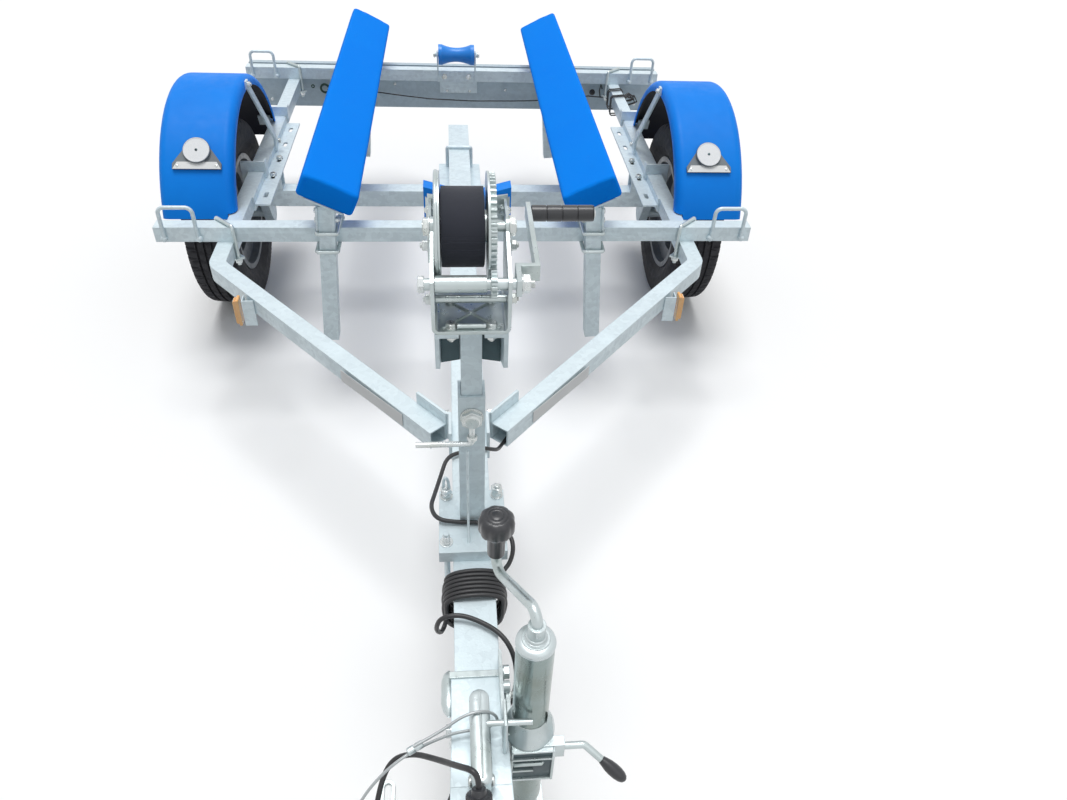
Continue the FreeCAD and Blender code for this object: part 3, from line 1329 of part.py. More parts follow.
def grip_shape():
    """The crank's grip on its pin."""
    x = num("crank_x + crank_step + crank_sheet + grip_gap")
    grip = Part.makeCylinder(
        num("grip_radius"), num("grip_length"), Vector(x, num("crank_arm"), 0), Vector(1, 0, 0)
    )
    bore = Part.makeCylinder(
        num("grip_pin"), num("grip_length") + 2, Vector(x - 1, num("crank_arm"), 0), Vector(1, 0, 0)
    )
    solid = grip.cut(bore)
    solid.rotate(Vector(), Vector(1, 0, 0), num("crank_angle"))
    return solid


node("crank_grip", put(shaped("grip", grip_shape()), (0, "pinion_y", "pinion_z")))


def stop_line(x, ahead=0.0):
    """The bow stop's front face at a distance from the middle, or a line ahead of it."""
    slope = num("stop_depth - stop_thick") / num("stop_width / 2")
    return num("stop_y") + slope * abs(x) - ahead


def stop_shape():
    """The bow stop: two arms in a V, open towards the rear."""
    half, high, thick = num("stop_width") / 2, num("stop_height"), num("stop_thick")
    corners = [(-half, stop_line(half)), (0, stop_line(0)), (half, stop_line(half))]
    corners += [(x, y + thick) for x, y in reversed(corners)]
    outline = Part.Face(Part.makePolygon([Vector(x, y, 0) for x, y in corners + corners[:1]]))
    solid = outline.extrude(Vector(0, 0, high))
    solid.translate(Vector(0, 0, num("stop_centre") - high / 2))
    return solid


node("bow_stop", shaped("stop_block", stop_shape()))


def stop_strap_shape():
    """The right strap from the winch's side plate to the bow stop's front face."""
    ear, strap, flange = num("stop_ear"), num("stop_strap"), num("stop_flange")
    inside, start = num("winch_width") / 2, num("winch_y + winch_depth - stop_lap")
    outside, low = inside + flange, num("stop_centre") - strap / 2
    corners = [
        (inside, start), (inside + ear, start), (inside + ear, stop_line(inside + ear, ear)),
        (outside, stop_line(outside, ear)), (outside, stop_line(outside)), (inside, stop_line(inside)),
    ]
    outline = Part.Face(Part.makePolygon([Vector(x, y, low) for x, y in corners + corners[:1]]))
    return outline.extrude(Vector(0, 0, strap))


node("bow_stop_straps", both_sides("stop_strap_pair", stop_strap_shape()))

# ---- coupling ------------------------------------------------------------------------------------

def coupling_blank():
    """The coupling's outer form, solid: a sleeve's width at the rear, a round head at the nose."""
    half = num("draw_side / 2 + shell_sheet")
    top, low = num("shell_top"), num("rail_top - shell_drop")
    rear, shoulder = num("shell_y"), num("shoulder_y")
    ball_y, radius = num("ball_y"), num("head_radius")
    plan = face_of(
        (-half, rear),
        [(half, rear), (half, shoulder), (radius, ball_y), (0, ball_y - radius, -radius, ball_y),
         (-half, shoulder)],
    )
    body = plan.extrude(Vector(0, 0, top - low))
    body.translate(Vector(0, 0, low))
    return body


def behind_join():
    """All that lies behind the joint between the coupling's head and its sleeve."""
    size = num("overall_length")
    return Part.makeBox(size, size, size, Vector(-size / 2, num("head_join_y"), -size / 2))


def coupling_shape():
    """The coupling's sleeve over the drawbar, open below in front of it."""
    low, side, sheet_size = num("rail_top - shell_drop"), num("draw_side"), num("shell_sheet")
    rear, lap, shoulder = num("shell_y"), num("shell_lap"), num("shoulder_y")
    tunnel = Part.makeBox(side, lap + sheet_size, side, Vector(-side / 2, rear - lap, num("draw_floor")))
    start = num("head_join_y") + sheet_size
    width = num("hollow_width")
    high = num("shell_top") - low - 2 * sheet_size
    hollow = Part.makeBox(
        width, shoulder - start, high + sheet_size, Vector(-width / 2, start, low - sheet_size)
    )
    return coupling_blank().common(behind_join()).cut(tunnel).cut(hollow).removeSplitter()


node("coupling", shaped("coupling_shell", coupling_shape()))


def coupling_head_shape():
    """The coupling's head with the ball's socket, open downwards."""
    ball = Vector(0, num("ball_y"), num("ball_height"))
    radius, low = num("ball_radius + ball_play"), num("rail_top - shell_drop")
    cup = Part.makeSphere(radius, ball)
    mouth = Part.makeCylinder(radius, 2 * (ball.z - low), Vector(0, ball.y, ball.z - 2 * (ball.z - low)))
    return coupling_blank().cut(behind_join()).cut(cup).cut(mouth).removeSplitter()


node("coupling_head", shaped("coupling_dome", coupling_head_shape()))


def lever_shape():
    """The coupling's lever, a tall rounded bar on the shell."""
    length, width = num("lever_length"), num("lever_width")
    middle = Vector(0, num("lever_y") - length / 2, num("shell_top"))
    bar = stadium(length, width, num("lever_height"), middle)
    hole = Vector(-width, num("lever_y - lever_eye - eye_width / 2"), num("shell_top"))
    return bar.cut(
        Part.makeBox(2 * width, num("eye_width"), num("eye_height"), hole + Vector(0, 0, num("eye_rise")))
    )


node("coupling_lever", shaped("lever", lever_shape()))

# ---- jockey wheel --------------------------------------------------------------------------------

def tube_shape():
    """The jockey wheel's outer tube with its cap."""
    radius, wall = num("jockey_tube"), num("jockey_wall")
    x, y = num("jockey_spread"), num("jockey_y")
    foot, top = num("jockey_foot"), num("jockey_top")
    tube = Part.makeCylinder(radius, top - foot, Vector(x, y, foot))
    bore = Part.makeCylinder(radius - wall, top - foot - wall, Vector(x, y, foot))
    return tube.cut(bore)


node("jockey_tube", shaped("jockey_outer", tube_shape()))


def toggle_path():
    """The clamp's toggle: from its ear out to the right, then down and forwards to its grip."""
    radius, thick = num("jockey_tube"), num("clamp_ear_thick")
    x = num("jockey_spread") + radius
    y = num("jockey_y") - radius - num("clamp_wall") + thick / 2
    z = num("clamp_top - clamp_height / 2")
    bend = Vector(x + num("toggle_run"), y, z)
    end = bend + Vector(num("toggle_side"), -num("toggle_front"), -num("toggle_fall"))
    return [Vector(x + num("clamp_ear") - 4, y, z), bend, end]


def clamp_ring_shape():
    """The clamp that holds the jockey wheel's tube to the drawbar, with its toggle."""
    x, y = num("jockey_spread"), num("jockey_y")
    radius, wall, thick = num("jockey_tube"), num("clamp_wall"), num("clamp_ear_thick")
    high, top = num("clamp_height"), num("clamp_top")
    side = num("draw_side") / 2 + num("shell_sheet")
    ring = Part.makeCylinder(radius + wall, high, Vector(x, y, top - high))
    pad = Part.makeBox(wall, 2.5 * radius, high, Vector(side, y - radius / 2, top - high))
    web = Part.makeBox(x - side, radius * 1.4, high, Vector(side, y - radius * 0.7, top - high))
    ear = Part.makeBox(
        radius + num("clamp_ear"), thick, high * 0.6, Vector(x, y - radius - wall, top - high * 0.8)
    )
    body = ring.fuse([pad, web, ear])
    body = body.cut(Part.makeCylinder(radius, high + 2, Vector(x, y, top - high - 1)))
    body = body.cut(Part.makeBox(side, 8 * radius, high + 2, Vector(0, y - 4 * radius, top - high - 1)))
    toggle = round_bar(toggle_path(), num("toggle_radius"), 2 * num("toggle_radius"))
    return body.fuse(toggle).removeSplitter()


node("jockey_clamp", shaped("clamp_ring", clamp_ring_shape()))


def toggle_grip_shape():
    """The black grip on the clamp's toggle."""
    bend, end = toggle_path()[1:]
    return Part.makeCylinder(num("toggle_grip"), num("toggle_length"), end, end - bend)


node("toggle_grip", shaped("toggle", toggle_grip_shape()))


def jockey_crank_shape():
    """The jockey crank: boss on the tube's cap and the rod that bends across to the knob."""
    x, y, top = num("jockey_spread"), num("jockey_y"), num("jockey_top")
    boss_radius, boss, knee_rise = num("boss_radius"), num("boss_rise"), num("rod_knee")
    cap = Part.makeCone(num("jockey_tube - cap_inset"), boss_radius, num("cap_rise"), Vector(x, y, top))
    start = Vector(x, y, top + num("cap_rise"))
    boss_solid = Part.makeCylinder(boss_radius, boss, start)
    knee = start + Vector(0, 0, boss + knee_rise)
    end = Vector(x - num("knob_side"), y + num("knob_back"), num("knob_foot + knob_bore"))
    elbow = Vector(end.x, end.y, num("knob_foot") - knee_rise)
    rod_solid = round_bar([start, knee, elbow, end], num("rod_radius"), num("rod_radius") * 2)
    return cap.fuse([boss_solid, rod_solid]).removeSplitter()


node("jockey_crank", shaped("jockey_rod", jockey_crank_shape()))


def knob_shape():
    """The jockey crank's knob, mushroom-shaped."""
    x, y = num("jockey_spread - knob_side"), num("jockey_y + knob_back")
    radius, high, bore = num("knob_radius"), num("knob_height"), num("rod_radius")
    neck = radius * 0.5
    face = face_of(
        (bore, 0),
        [
            (neck, 0), (neck, high * 0.42), (radius * 0.86, high * 0.52),
            (radius, high * 0.66, radius, high * 0.74),
            (radius * 0.85, high * 0.93, radius * 0.2, high), (0, high), (0, num("knob_bore")),
            (bore, num("knob_bore")),
        ],
    )
    face.rotate(Vector(), Vector(1, 0, 0), 90)
    solid = face.revolve(Vector(), Vector(0, 0, 1), 360)
    solid.translate(Vector(x, y, num("knob_foot")))
    return solid


node("jockey_knob", shaped("knob", knob_shape()))


def stem_shape():
    """The jockey wheel's stem, which slides in its tube."""
    base = num("fork_top + seat_gap")
    height = num("jockey_foot + stem_length") - base
    return Part.makeCylinder(num("stem_radius"), height, Vector(num("jockey_spread"), num("jockey_y"), base))


node("jockey_stem", shaped("stem", stem_shape()))


def fork_shape():
    """The jockey wheel's fork with its axle."""
    x, y, plate = num("jockey_spread"), num("jockey_y"), num("castor_plate")
    half, crown = num("jockey_wheel_width / 2 + castor_side"), num("castor_crown") / 2
    top, eye, foot, end = num("fork_top"), num("castor_eye"), num("castor_foot"), num("castor_end")
    axle_y, axle_z = num("castor_y"), num("jockey_wheel_radius")
    roof = Part.makeBox(
        2 * (half + plate), 2 * crown, plate, Vector(x - half - plate, y - crown, top - plate)
    )
    pieces = []
    for low_x in (x - half - plate, x + half):
        cheek = Part.Face(Part.makePolygon([
            Vector(low_x, y - crown, top), Vector(low_x, axle_y - eye, axle_z),
            Vector(low_x, axle_y - 0.6 * eye, axle_z - foot),
            Vector(low_x, axle_y + 0.6 * eye, axle_z - foot),
            Vector(low_x, axle_y + eye, axle_z), Vector(low_x, y + crown, top), Vector(low_x, y - crown, top),
        ]))
        pieces.append(cheek.extrude(Vector(plate, 0, 0)))
    reach = half + plate + end
    pin = Part.makeCylinder(num("castor_pin"), 2 * reach, Vector(x - reach, axle_y, axle_z), Vector(1, 0, 0))
    return roof.fuse(pieces + [pin]).removeSplitter()


node("jockey_fork", shaped("fork", fork_shape()))


def jockey_wheel_shape():
    """The jockey wheel about the X axis: a solid tyre on a dished hub."""
    half, radius, disc = num("jockey_wheel_width") / 2, num("jockey_wheel_radius"), num("castor_disc") / 2
    bore, hub, rim = num("castor_pin + pin_gap"), num("castor_hub"), num("castor_rim")
    foot, shoulder = radius - num("castor_tyre"), radius - num("castor_tyre") / 2
    face = face_of(
        (-half, bore),
        [
            (-half, hub - 2), (-disc, hub + 2), (-disc, rim - 3), (3 - half, rim + 3), (-half, foot),
            (-half, shoulder),
            (-half * 0.7, radius - 2, 0, radius), (half * 0.7, radius - 2, half, shoulder), (half, foot),
            (half - 3, rim + 3), (disc, rim - 3), (disc, hub + 2), (half, hub - 2), (half, bore),
        ],
    )
    return spun(face)


node(
    "jockey_wheel",
    put(shaped("jockey_disc", jockey_wheel_shape()), ("jockey_spread", "castor_y", "jockey_wheel_radius"))
)

# ---- side markers --------------------------------------------------------------------------------

def marker_bracket_shape():
    """A right side marker's bracket, from the arm outwards."""
    thick = num("marker_sheet")
    x = num("marker_spread - marker_depth")
    slope = num("rail_spread - arm_tip_spread") / num("arm_tip_ahead - bend_ahead")
    front = num("marker_ahead + marker_width / 2 - bend_ahead") - thick
    face = num("rail_spread") - front * slope + num("tube_side / 2") * math.sqrt(1 + slope ** 2)
    reach = x - face
    y, top, high = num("bar_y - marker_ahead"), num("marker_top"), num("marker_height")
    face_plate = Part.makeBox(
        thick, num("marker_width"), high, Vector(x - thick, y - num("marker_width") / 2, top - high)
    )
    wall = Part.makeBox(reach, thick, high, Vector(x - reach, y - num("marker_width") / 2, top - high))
    return face_plate.fuse(wall).removeSplitter()


def marker_lens_shape():
    """A right side marker's lens."""
    x = num("marker_spread - marker_depth")
    y, top, high = num("bar_y - marker_ahead"), num("marker_top"), num("marker_height")
    return Part.makeBox(
        num("marker_depth"), num("marker_width"), high, Vector(x, y - num("marker_width") / 2, top - high)
    )


node("marker_brackets", both_sides("marker_bracket_pair", marker_bracket_shape()))
node("marker_lenses", both_sides("marker_lens_pair", marker_lens_shape()))

# ---- cords ---------------------------------------------------------------------------------------
# Each route is a list of (x, y, z): x and z in the frame's own millimetres, y behind the front
# crossbar's face.
LEAD_REAR = [
    (78, -719, 419), (60, -741, 420), (54, -768, 430), (46, -789, 450), (21, -798, 463), (-12, -801, 457),
    (-42, -816, 459), (-53, -855, 451), (-63, -905, 457), (-70, -955, 477), (-58, -987, 481),
    (-24, -990.5, 477),
    (12, -992, 477), (42, -1004, 478), (62, -1023, 477), (65, -1044, 468), (59, -1058, 452),
    (44.5, -1065, 441),
    (44.5, -1076, 441),
]
LEAD_FRONT = [
    (-44, -1138, 405), (-44, -1150, 405), (-55, -1160, 413), (-60, -1163, 434), (-52, -1162, 459),
    (-24, -1161, 464), (8, -1172, 459), (38, -1196, 460), (55, -1222, 446), (59, -1242, 410),
    (50, -1258, 372),
    (20, -1278, 348), (-18, -1310, 332), (-38, -1358, 318), (-62, -1412, 308), (-98, -1452, 314),
    (-127, -1462, 342), (-140, -1438, 374), (-136, -1394, 402), (-121, -1358, 424), (-90, -1358, 442),
    (-54, -1388, 480), (-29, -1417, 520),
    (-12, -1431, 538), (-4.5, -1437.5, 530), (-4.5, -1444.5, 520),
]
BREAKAWAY = [
    (-86, -1369, 484), (-50, -1355, 488), (-22, -1343, 502), (4, -1338, 504), (22, -1338, 491),
    (24, -1341, 474),
    (6, -1344, 467), (-24, -1345, 467), (-55, -1355, 469), (-92, -1373, 472), (-126, -1390, 456),
    (-155, -1405, 420), (-176, -1423, 372), (-186, -1434, 320), (-188, -1439, 262), (-187, -1440, 204),
    (-188, -1438, 146), (-187, -1433, 90), (-182, -1418, 38), (-175, -1384, 6), (-171, -1340, 2.2),
    (-164, -1292, 2.2), (-160, -1250, 2.2),
]


def route(points):
    """A cord's chosen points in the part's frame."""
    front = num("bar_y")
    return [Vector(x, y + front, z) for x, y, z in points]


def cord(label, points, radius):
    """A cord's tube: straight runs and arcs as large as the shorter run beside each point allows."""
    bends = []
    for before, corner, after in zip(points, points[1:], points[2:]):
        first, second = corner - before, after - corner
        bends.append(0.45 * min(first.Length, second.Length) / math.tan(first.getAngle(second) / 2))
    path = rounded_path(points, bends)
    ring = Part.Wire([Part.Circle(points[0], points[1] - points[0], radius).toShape()])
    tube = path.makePipeShell([ring], True, False)
    share = tube.Volume / (math.pi * radius ** 2 * path.Length)
    print(f"{label}: {path.Length:.0f} mm, smallest bend {min(bends):.0f} mm, volume share {share:.4f}")
    return node(label, shaped(f"{label}_tube", tube))


cord("lead_rear", route(LEAD_REAR), num("lead_radius"))
cord("lead_front", route(LEAD_FRONT), num("lead_radius"))
cord("breakaway_cable", route(BREAKAWAY), num("cable_radius"))


def winding_shape():
    """The lead's winding round the drawbar, one closed outer shape."""
    half, gap = num("draw_side") / 2, num("seat_gap")
    top, floor = num("rail_top + coil_top"), num("draw_floor - coil_below")
    wide, middle = half + num("coil_side"), num("draw_floor + draw_side / 3")
    face = face_of(
        (-half, top),
        [
            (half, top), (wide - gap, middle + half * 0.8, wide, middle), (wide - 4, floor + 8, half, floor),
            (-half, floor), (4 - wide, floor + 8, -wide, middle),
            (gap - wide, middle + half * 0.8, -half, top),
        ],
    )
    length = num("coil_length")
    solid = face.extrude(Vector(0, 0, length))
    solid.rotate(Vector(), Vector(1, 0, 0), 90)
    solid.translate(Vector(0, num("bar_y - coil_ahead") + length, 0))
    hole = 2 * (half + gap)
    core = Vector(-hole / 2, num("bar_y - coil_ahead") - 1, num("draw_floor") - gap)
    return solid.cut(Part.makeBox(hole, length + 2, hole, core))


node("lead_winding", shaped("winding", winding_shape()))


def plug_shape():
    """The lead's plug, about the Z axis and leaning back over the coupling, with its gland on top."""
    radius, length = num("plug_radius"), num("plug_length")
    face = face_of(
        (0, 0),
        [(0, length), (9, length), (9, length - 8), (17, length - 16), (radius, length - 22), (radius, 0)],
    )
    face.rotate(Vector(), Vector(1, 0, 0), 90)
    solid = face.revolve(Vector(), Vector(0, 0, 1), 360)
    end = route(LEAD_FRONT)[-1]
    lean = Rotation(Vector(1, 0, 0), -num("plug_lean"))
    solid.Placement = Placement(end - lean.multVec(Vector(0, 0, length)), lean)
    return solid


node("lead_plug", shaped("plug", plug_shape()))


def hook_shape():
    """The breakaway cable's snap hook, a flat link on the floor."""
    end = route(BREAKAWAY)[-1]
    length, width, thick = num("hook_length"), num("hook_width"), num("hook_plate")
    wall = width / 4
    middle = Vector(end.x, end.y + length / 2, 0)
    link = stadium(length, width, thick, middle)
    return link.cut(stadium(length - 2 * wall, width - 2 * wall, 3 * thick, middle - Vector(0, 0, thick)))


node("cable_hook", shaped("hook", hook_shape()))

doc.recompute()
os.makedirs("parts", exist_ok=True)
for item in doc.Objects:
    state = " ".join(item.State)
    if "Invalid" in state or "Error" in state:
        raise RuntimeError(f"{item.Label} failed: {state}")
for label, item in NODES.items():
    shape = item.Shape
    if shape.isNull() or not shape.isValid():
        raise RuntimeError(f"{label} has no valid shape")
for label, item in NODES.items():
    item.Shape.exportStep(f"parts/{label}.step")
print(len(NODES), "sub-parts")
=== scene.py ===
import json
import math

import bmesh
import bpy
from mathutils import Matrix, Vector, noise


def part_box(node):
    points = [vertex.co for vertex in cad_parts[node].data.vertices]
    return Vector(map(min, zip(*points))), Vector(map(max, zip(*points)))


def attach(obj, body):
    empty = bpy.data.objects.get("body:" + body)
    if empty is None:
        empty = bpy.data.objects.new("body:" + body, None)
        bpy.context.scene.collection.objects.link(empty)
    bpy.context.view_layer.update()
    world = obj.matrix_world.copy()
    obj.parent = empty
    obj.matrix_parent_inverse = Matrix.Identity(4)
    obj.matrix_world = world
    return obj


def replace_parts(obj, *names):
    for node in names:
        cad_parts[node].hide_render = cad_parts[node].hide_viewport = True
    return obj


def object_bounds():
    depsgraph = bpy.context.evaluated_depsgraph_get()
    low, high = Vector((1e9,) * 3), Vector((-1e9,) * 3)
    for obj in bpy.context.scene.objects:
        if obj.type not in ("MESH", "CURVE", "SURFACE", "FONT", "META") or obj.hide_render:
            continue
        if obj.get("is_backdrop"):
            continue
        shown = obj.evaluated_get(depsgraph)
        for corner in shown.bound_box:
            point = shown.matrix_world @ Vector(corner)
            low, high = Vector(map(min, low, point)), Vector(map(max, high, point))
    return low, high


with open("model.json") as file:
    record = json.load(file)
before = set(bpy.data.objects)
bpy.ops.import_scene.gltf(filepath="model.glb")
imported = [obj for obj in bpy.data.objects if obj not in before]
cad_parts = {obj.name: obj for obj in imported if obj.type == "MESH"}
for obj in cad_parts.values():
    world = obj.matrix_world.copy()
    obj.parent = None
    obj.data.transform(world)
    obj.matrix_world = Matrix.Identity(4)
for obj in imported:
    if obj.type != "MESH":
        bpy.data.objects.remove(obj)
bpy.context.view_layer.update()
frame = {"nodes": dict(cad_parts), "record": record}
NODES = frame["nodes"]

# ---- places: millimetres, with y behind the front crossbar's front face ----
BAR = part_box("front_crossbar")[0].y
SIDES = (-1, 1)


def at(x, y, z):
    """A place in the scene, from millimetres."""
    return Vector((x / 1000, BAR + y / 1000, z / 1000))


def corner_of(node, share=0.5):
    """A place in a CAD node's box, in millimetres: its low corner at 0, middle at 0.5, high corner at 1."""
    low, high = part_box(node)
    return (low + (high - low) * share - Vector((0, BAR, 0))) * 1000


CROSSBARS = (0, corner_of("rear_crossbar", 0).y)
BAR_TOP = corner_of("front_crossbar", 1).z
DRAW_X, DRAW_LOW = corner_of("drawbar", 1).x, corner_of("drawbar", 0).z
BOARD_Y = corner_of("light_board", 0).y
DRUM_Y, DRUM_Z = corner_of("winch_drum").yz
MAST_Y = DRUM_Y - 63                            # front of the winch post's socket
JOCKEY_X, JOCKEY_Y = corner_of("jockey_tube").xy
AXLE_Y = corner_of("axle_beam").y
WHEEL_X, WHEEL_Z = corner_of("tyre_right").x, corner_of("tyre_right").z
WHEEL_Y = AXLE_Y + 45                           # the swing arms trail
GUARD_Y, GUARD_Z = WHEEL_Y - 10, WHEEL_Z + 39   # centre of the mudguards' arcs
GUARD_RADIUS = 370
POST_X, POST_LEAN = 338, math.radians(4.5)      # bunk posts, at the crossbars' top
TILT = math.radians(25.5)                       # the bunks'


def linked(name, data):
    """A new object in the scene."""
    made = bpy.data.objects.new(name, data)
    bpy.context.scene.collection.objects.link(made)
    return made


# ---- camera ----
pitch, yaw, roll = math.radians(39.90), math.radians(7.04), math.radians(3.36)
look = Vector((math.sin(yaw) * math.cos(pitch), math.cos(yaw) * math.cos(pitch), -math.sin(pitch)))
level = Vector((math.cos(yaw), -math.sin(yaw), 0))
above = level.cross(look)
right = math.cos(roll) * level + math.sin(roll) * above
up = math.cos(roll) * above - math.sin(roll) * level
camera = linked("camera", bpy.data.cameras.new("camera"))
turned = Matrix((right, up, -look)).transposed().to_4x4()
camera.matrix_world = Matrix.Translation((-0.020, -1.828, 1.485)) @ turned
camera.data.sensor_width, camera.data.lens = 36, 27.03
camera.data.clip_start, camera.data.clip_end = 0.02, 200
bpy.context.scene.camera = camera
bpy.context.scene.view_settings.view_transform = "Standard"


# ---- materials ----
class Graph:
    """Shader nodes, written from the surface back to its textures."""

    def __init__(self, owner, shader):
        owner.use_nodes = True
        self.owner, self.tree = owner, owner.node_tree
        self.shader = self.tree.nodes[shader]

    def fill(self, node, inputs):
        """Write numbers and colours to a node's inputs, or link other nodes' outputs to them."""
        for key, item in inputs.items():
            socket = node.inputs[key]
            if isinstance(item, bpy.types.NodeSocket):
                self.tree.links.new(item, socket)
            else:
                socket.default_value = (*item, 1) if socket.type == "RGBA" else item
        return node

    def skin(self, inputs):
        """Fill the shader's inputs."""
        self.fill(self.shader, inputs)

    def add(self, kind, inputs=None, **values):
        """A new node with its settings and inputs."""
        made = self.tree.nodes.new("ShaderNode" + kind)
        for key, value in values.items():
            setattr(made, key, value)
        return self.fill(made, inputs or {})

    def texture(self, kind, scale, inputs=None, **values):
        """A texture on the object's coordinates, whose scale may have a factor for each axis."""
        vector = self.add("TexCoord").outputs["Object"]
        if hasattr(scale, "__len__"):
            vector, scale = self.add("Mapping", {"Vector": vector, "Scale": scale}).outputs[0], 1
        return self.add("Tex" + kind, {"Vector": vector, "Scale": scale, **(inputs or {})}, **values)

    def noise(self, scale, detail=3.0, rough=0.55):
        return self.texture("Noise", scale, {"Detail": detail, "Roughness": rough}).outputs[0]

    def cells(self, scale):
        """A value between 0 and 1 for each cell."""
        return self.add("SeparateColor", {0: self.texture("Voronoi", scale).outputs["Color"]}).outputs[0]

    def comb(self, scale):
        """The distance from each cell's middle."""
        return self.texture("Voronoi", scale).outputs["Distance"]

    def waves(self, scale, axis):
        return self.texture("Wave", scale, bands_direction=axis).outputs["Fac"]

    def spread(self, value, low, high, new_low=0, new_high=1):
        """A value stretched from one span to another."""
        spans = {"From Min": low, "From Max": high, "To Min": new_low, "To Max": new_high}
        return self.add("MapRange", {"Value": value, **spans}).outputs[0]

    def sum(self, first, second, operation="ADD"):
        return self.add("Math", {0: first, 1: second}, operation=operation).outputs[0]

    def blend(self, factor, first, second):
        return self.add("Mix", {0: factor, 6: first, 7: second}, data_type="RGBA").outputs[2]

    def drift(self, scale, detail, low, high, first, second):
        """A colour that drifts between two."""
        return self.blend(self.spread(self.noise(scale, detail), low, high), first, second)

    def wear(self, scale, detail, low, high):
        """A roughness that drifts between two values."""
        return self.spread(self.noise(scale, detail), 0.3, 0.7, low, high)

    def bump(self, height, distance, edge=0.0):
        """Relief, and edges that look rounded by a radius. Gives back the material."""
        inputs = {"Height": height, "Distance": distance}
        if edge:
            inputs["Normal"] = self.add("Bevel", {"Radius": edge}, samples=4).outputs[0]
        self.skin({"Normal": self.add("Bump", inputs).outputs[0]})
        return self.owner


def surface(name, colour, rough, metallic=0.0):
    """The nodes of a new material."""
    g = Graph(bpy.data.materials.new(name), "Principled BSDF")
    g.skin({"Base Color": colour, "Roughness": rough, "Metallic": metallic})
    return g


def galvanised(name, pale, dark, metallic, edge):
    """Hot-dip zinc: spangle cells, mottling, runs, a faint grain."""
    g = surface(name, pale, 0.42, metallic)
    spangle = g.cells(95)
    mottle = g.spread(g.noise(14, 4), 0.35, 0.65)
    grey = g.blend(g.spread(spangle, 0.1, 0.9, 0, 0.55), pale, dark)
    streak = g.spread(g.noise((9, 9, 60), 3), 0.52, 0.72, 0, 0.45)
    mottled = g.blend(g.spread(mottle, 0, 1, 0, 0.3), grey, dark)
    g.skin({
        "Base Color": g.blend(streak, mottled, [c * 1.12 for c in pale]),
        "Roughness": g.sum(g.spread(spangle, 0, 1, 0.3, 0.46), g.spread(mottle, 0, 1, 0, 0.1)),
    })
    return g.bump(g.sum(g.spread(spangle, 0, 1, 0, 0.3), g.noise(260, 3)), 0.00022, edge)


STEEL = galvanised("galvanised", (0.76, 0.87, 0.91), (0.60, 0.69, 0.73), 0.25, 0.0022)
SHEET = galvanised("galvanised_board", (0.50, 0.60, 0.66), (0.42, 0.51, 0.56), 0.25, 0.0016)


def zinc(name, colour, tint, rough):
    """Bright zinc plating with its faint colour drift and fine drawing lines."""
    g = surface(name, colour, rough, 0.75)
    g.skin({
        "Base Color": g.drift(16, 2, 0.35, 0.7, colour, tint),
        "Roughness": g.wear(90, 4, rough - 0.05, rough + 0.1),
    })
    return g.bump(g.noise((400, 400, 60), 2), 0.00008, 0.0012)


ZINC = zinc("bright_zinc", (0.60, 0.66, 0.67), (0.48, 0.54, 0.53), 0.3)
# Zinc for the jockey tube and stem, its colour darkened to paint dark reflections.
DARKENED_TUBE_ZINC = zinc("jockey_tube_zinc_painted_dark", (0.30, 0.37, 0.36), (0.24, 0.28, 0.25), 0.2)
# Dark zinc, mostly painted shade: the dark pieces in the jockey clamp's gaps and inside the winch post
# bracket. It is also the reflectors' dark middles.
SHADE_AND_DARK_ZINC = zinc("painted_shade_dark_zinc", (0.07, 0.11, 0.12), (0.05, 0.07, 0.08), 0.34)
BOLTS = zinc("bolt_zinc", (0.70, 0.74, 0.75), (0.56, 0.58, 0.55), 0.26)


def plastic(name, colour, shade, rough, grain, depth, coat=0.0, edge=0.001, shine=0.5):
    """Moulded plastic: slight colour drift, a grained skin."""
    g = surface(name, colour, rough)
    g.skin({
        "Base Color": g.drift(9, 3, 0.3, 0.7, colour, shade),
        "Roughness": g.wear(40, 4, rough - 0.05, rough + 0.08),
        "Coat Weight": coat, "Coat Roughness": 0.12, "Specular IOR Level": shine,
    })
    return g.bump(g.noise(grain, 3), depth, edge)


BLUE, DEEP_BLUE = (0.0, 0.25, 0.90), (0.0, 0.225, 0.84)
STOP = plastic("stop_blue", BLUE, DEEP_BLUE, 0.45, 900, 0.00012, 0.0, 0.002, 0.2)


def guard_plastic():
    """The mudguards' blue skin, with painted shade: near black where it faces inwards."""
    middle, half, inner, wall = 0.7, 0.0735, 0.346, 0.0215
    g = surface("guard_blue", BLUE, 0.5)
    x, y, z = g.add("SeparateXYZ", {0: g.add("NewGeometry").outputs["Position"]}).outputs

    def length(u, v):
        return g.sum(g.sum(g.sum(u, u, "MULTIPLY"), g.sum(v, v, "MULTIPLY")), 0.5, "POWER")

    radius = length(g.sum(y, -BAR - GUARD_Y / 1000), g.sum(z, -GUARD_Z / 1000))
    across = g.sum(g.sum(g.sum(x, 0, "ABSOLUTE"), -middle), 0, "ABSOLUTE")
    reach = length(g.sum(g.sum(across, -half), 0, "MAXIMUM"), g.sum(g.sum(radius, -inner), 0, "MAXIMUM"))
    # Near black inside the guard's shell and lips: painted shade under the guard.
    blue, under = g.drift(9, 3, 0.3, 0.7, BLUE, DEEP_BLUE), g.sum(reach, wall, "LESS_THAN")
    g.skin({
        "Base Color": g.blend(under, blue, (0.004, 0.006, 0.014)),
        "Roughness": g.wear(40, 4, 0.45, 0.58), "Specular IOR Level": 0.2,
    })
    return g.bump(g.noise(900, 3), 0.00012, 0.002)


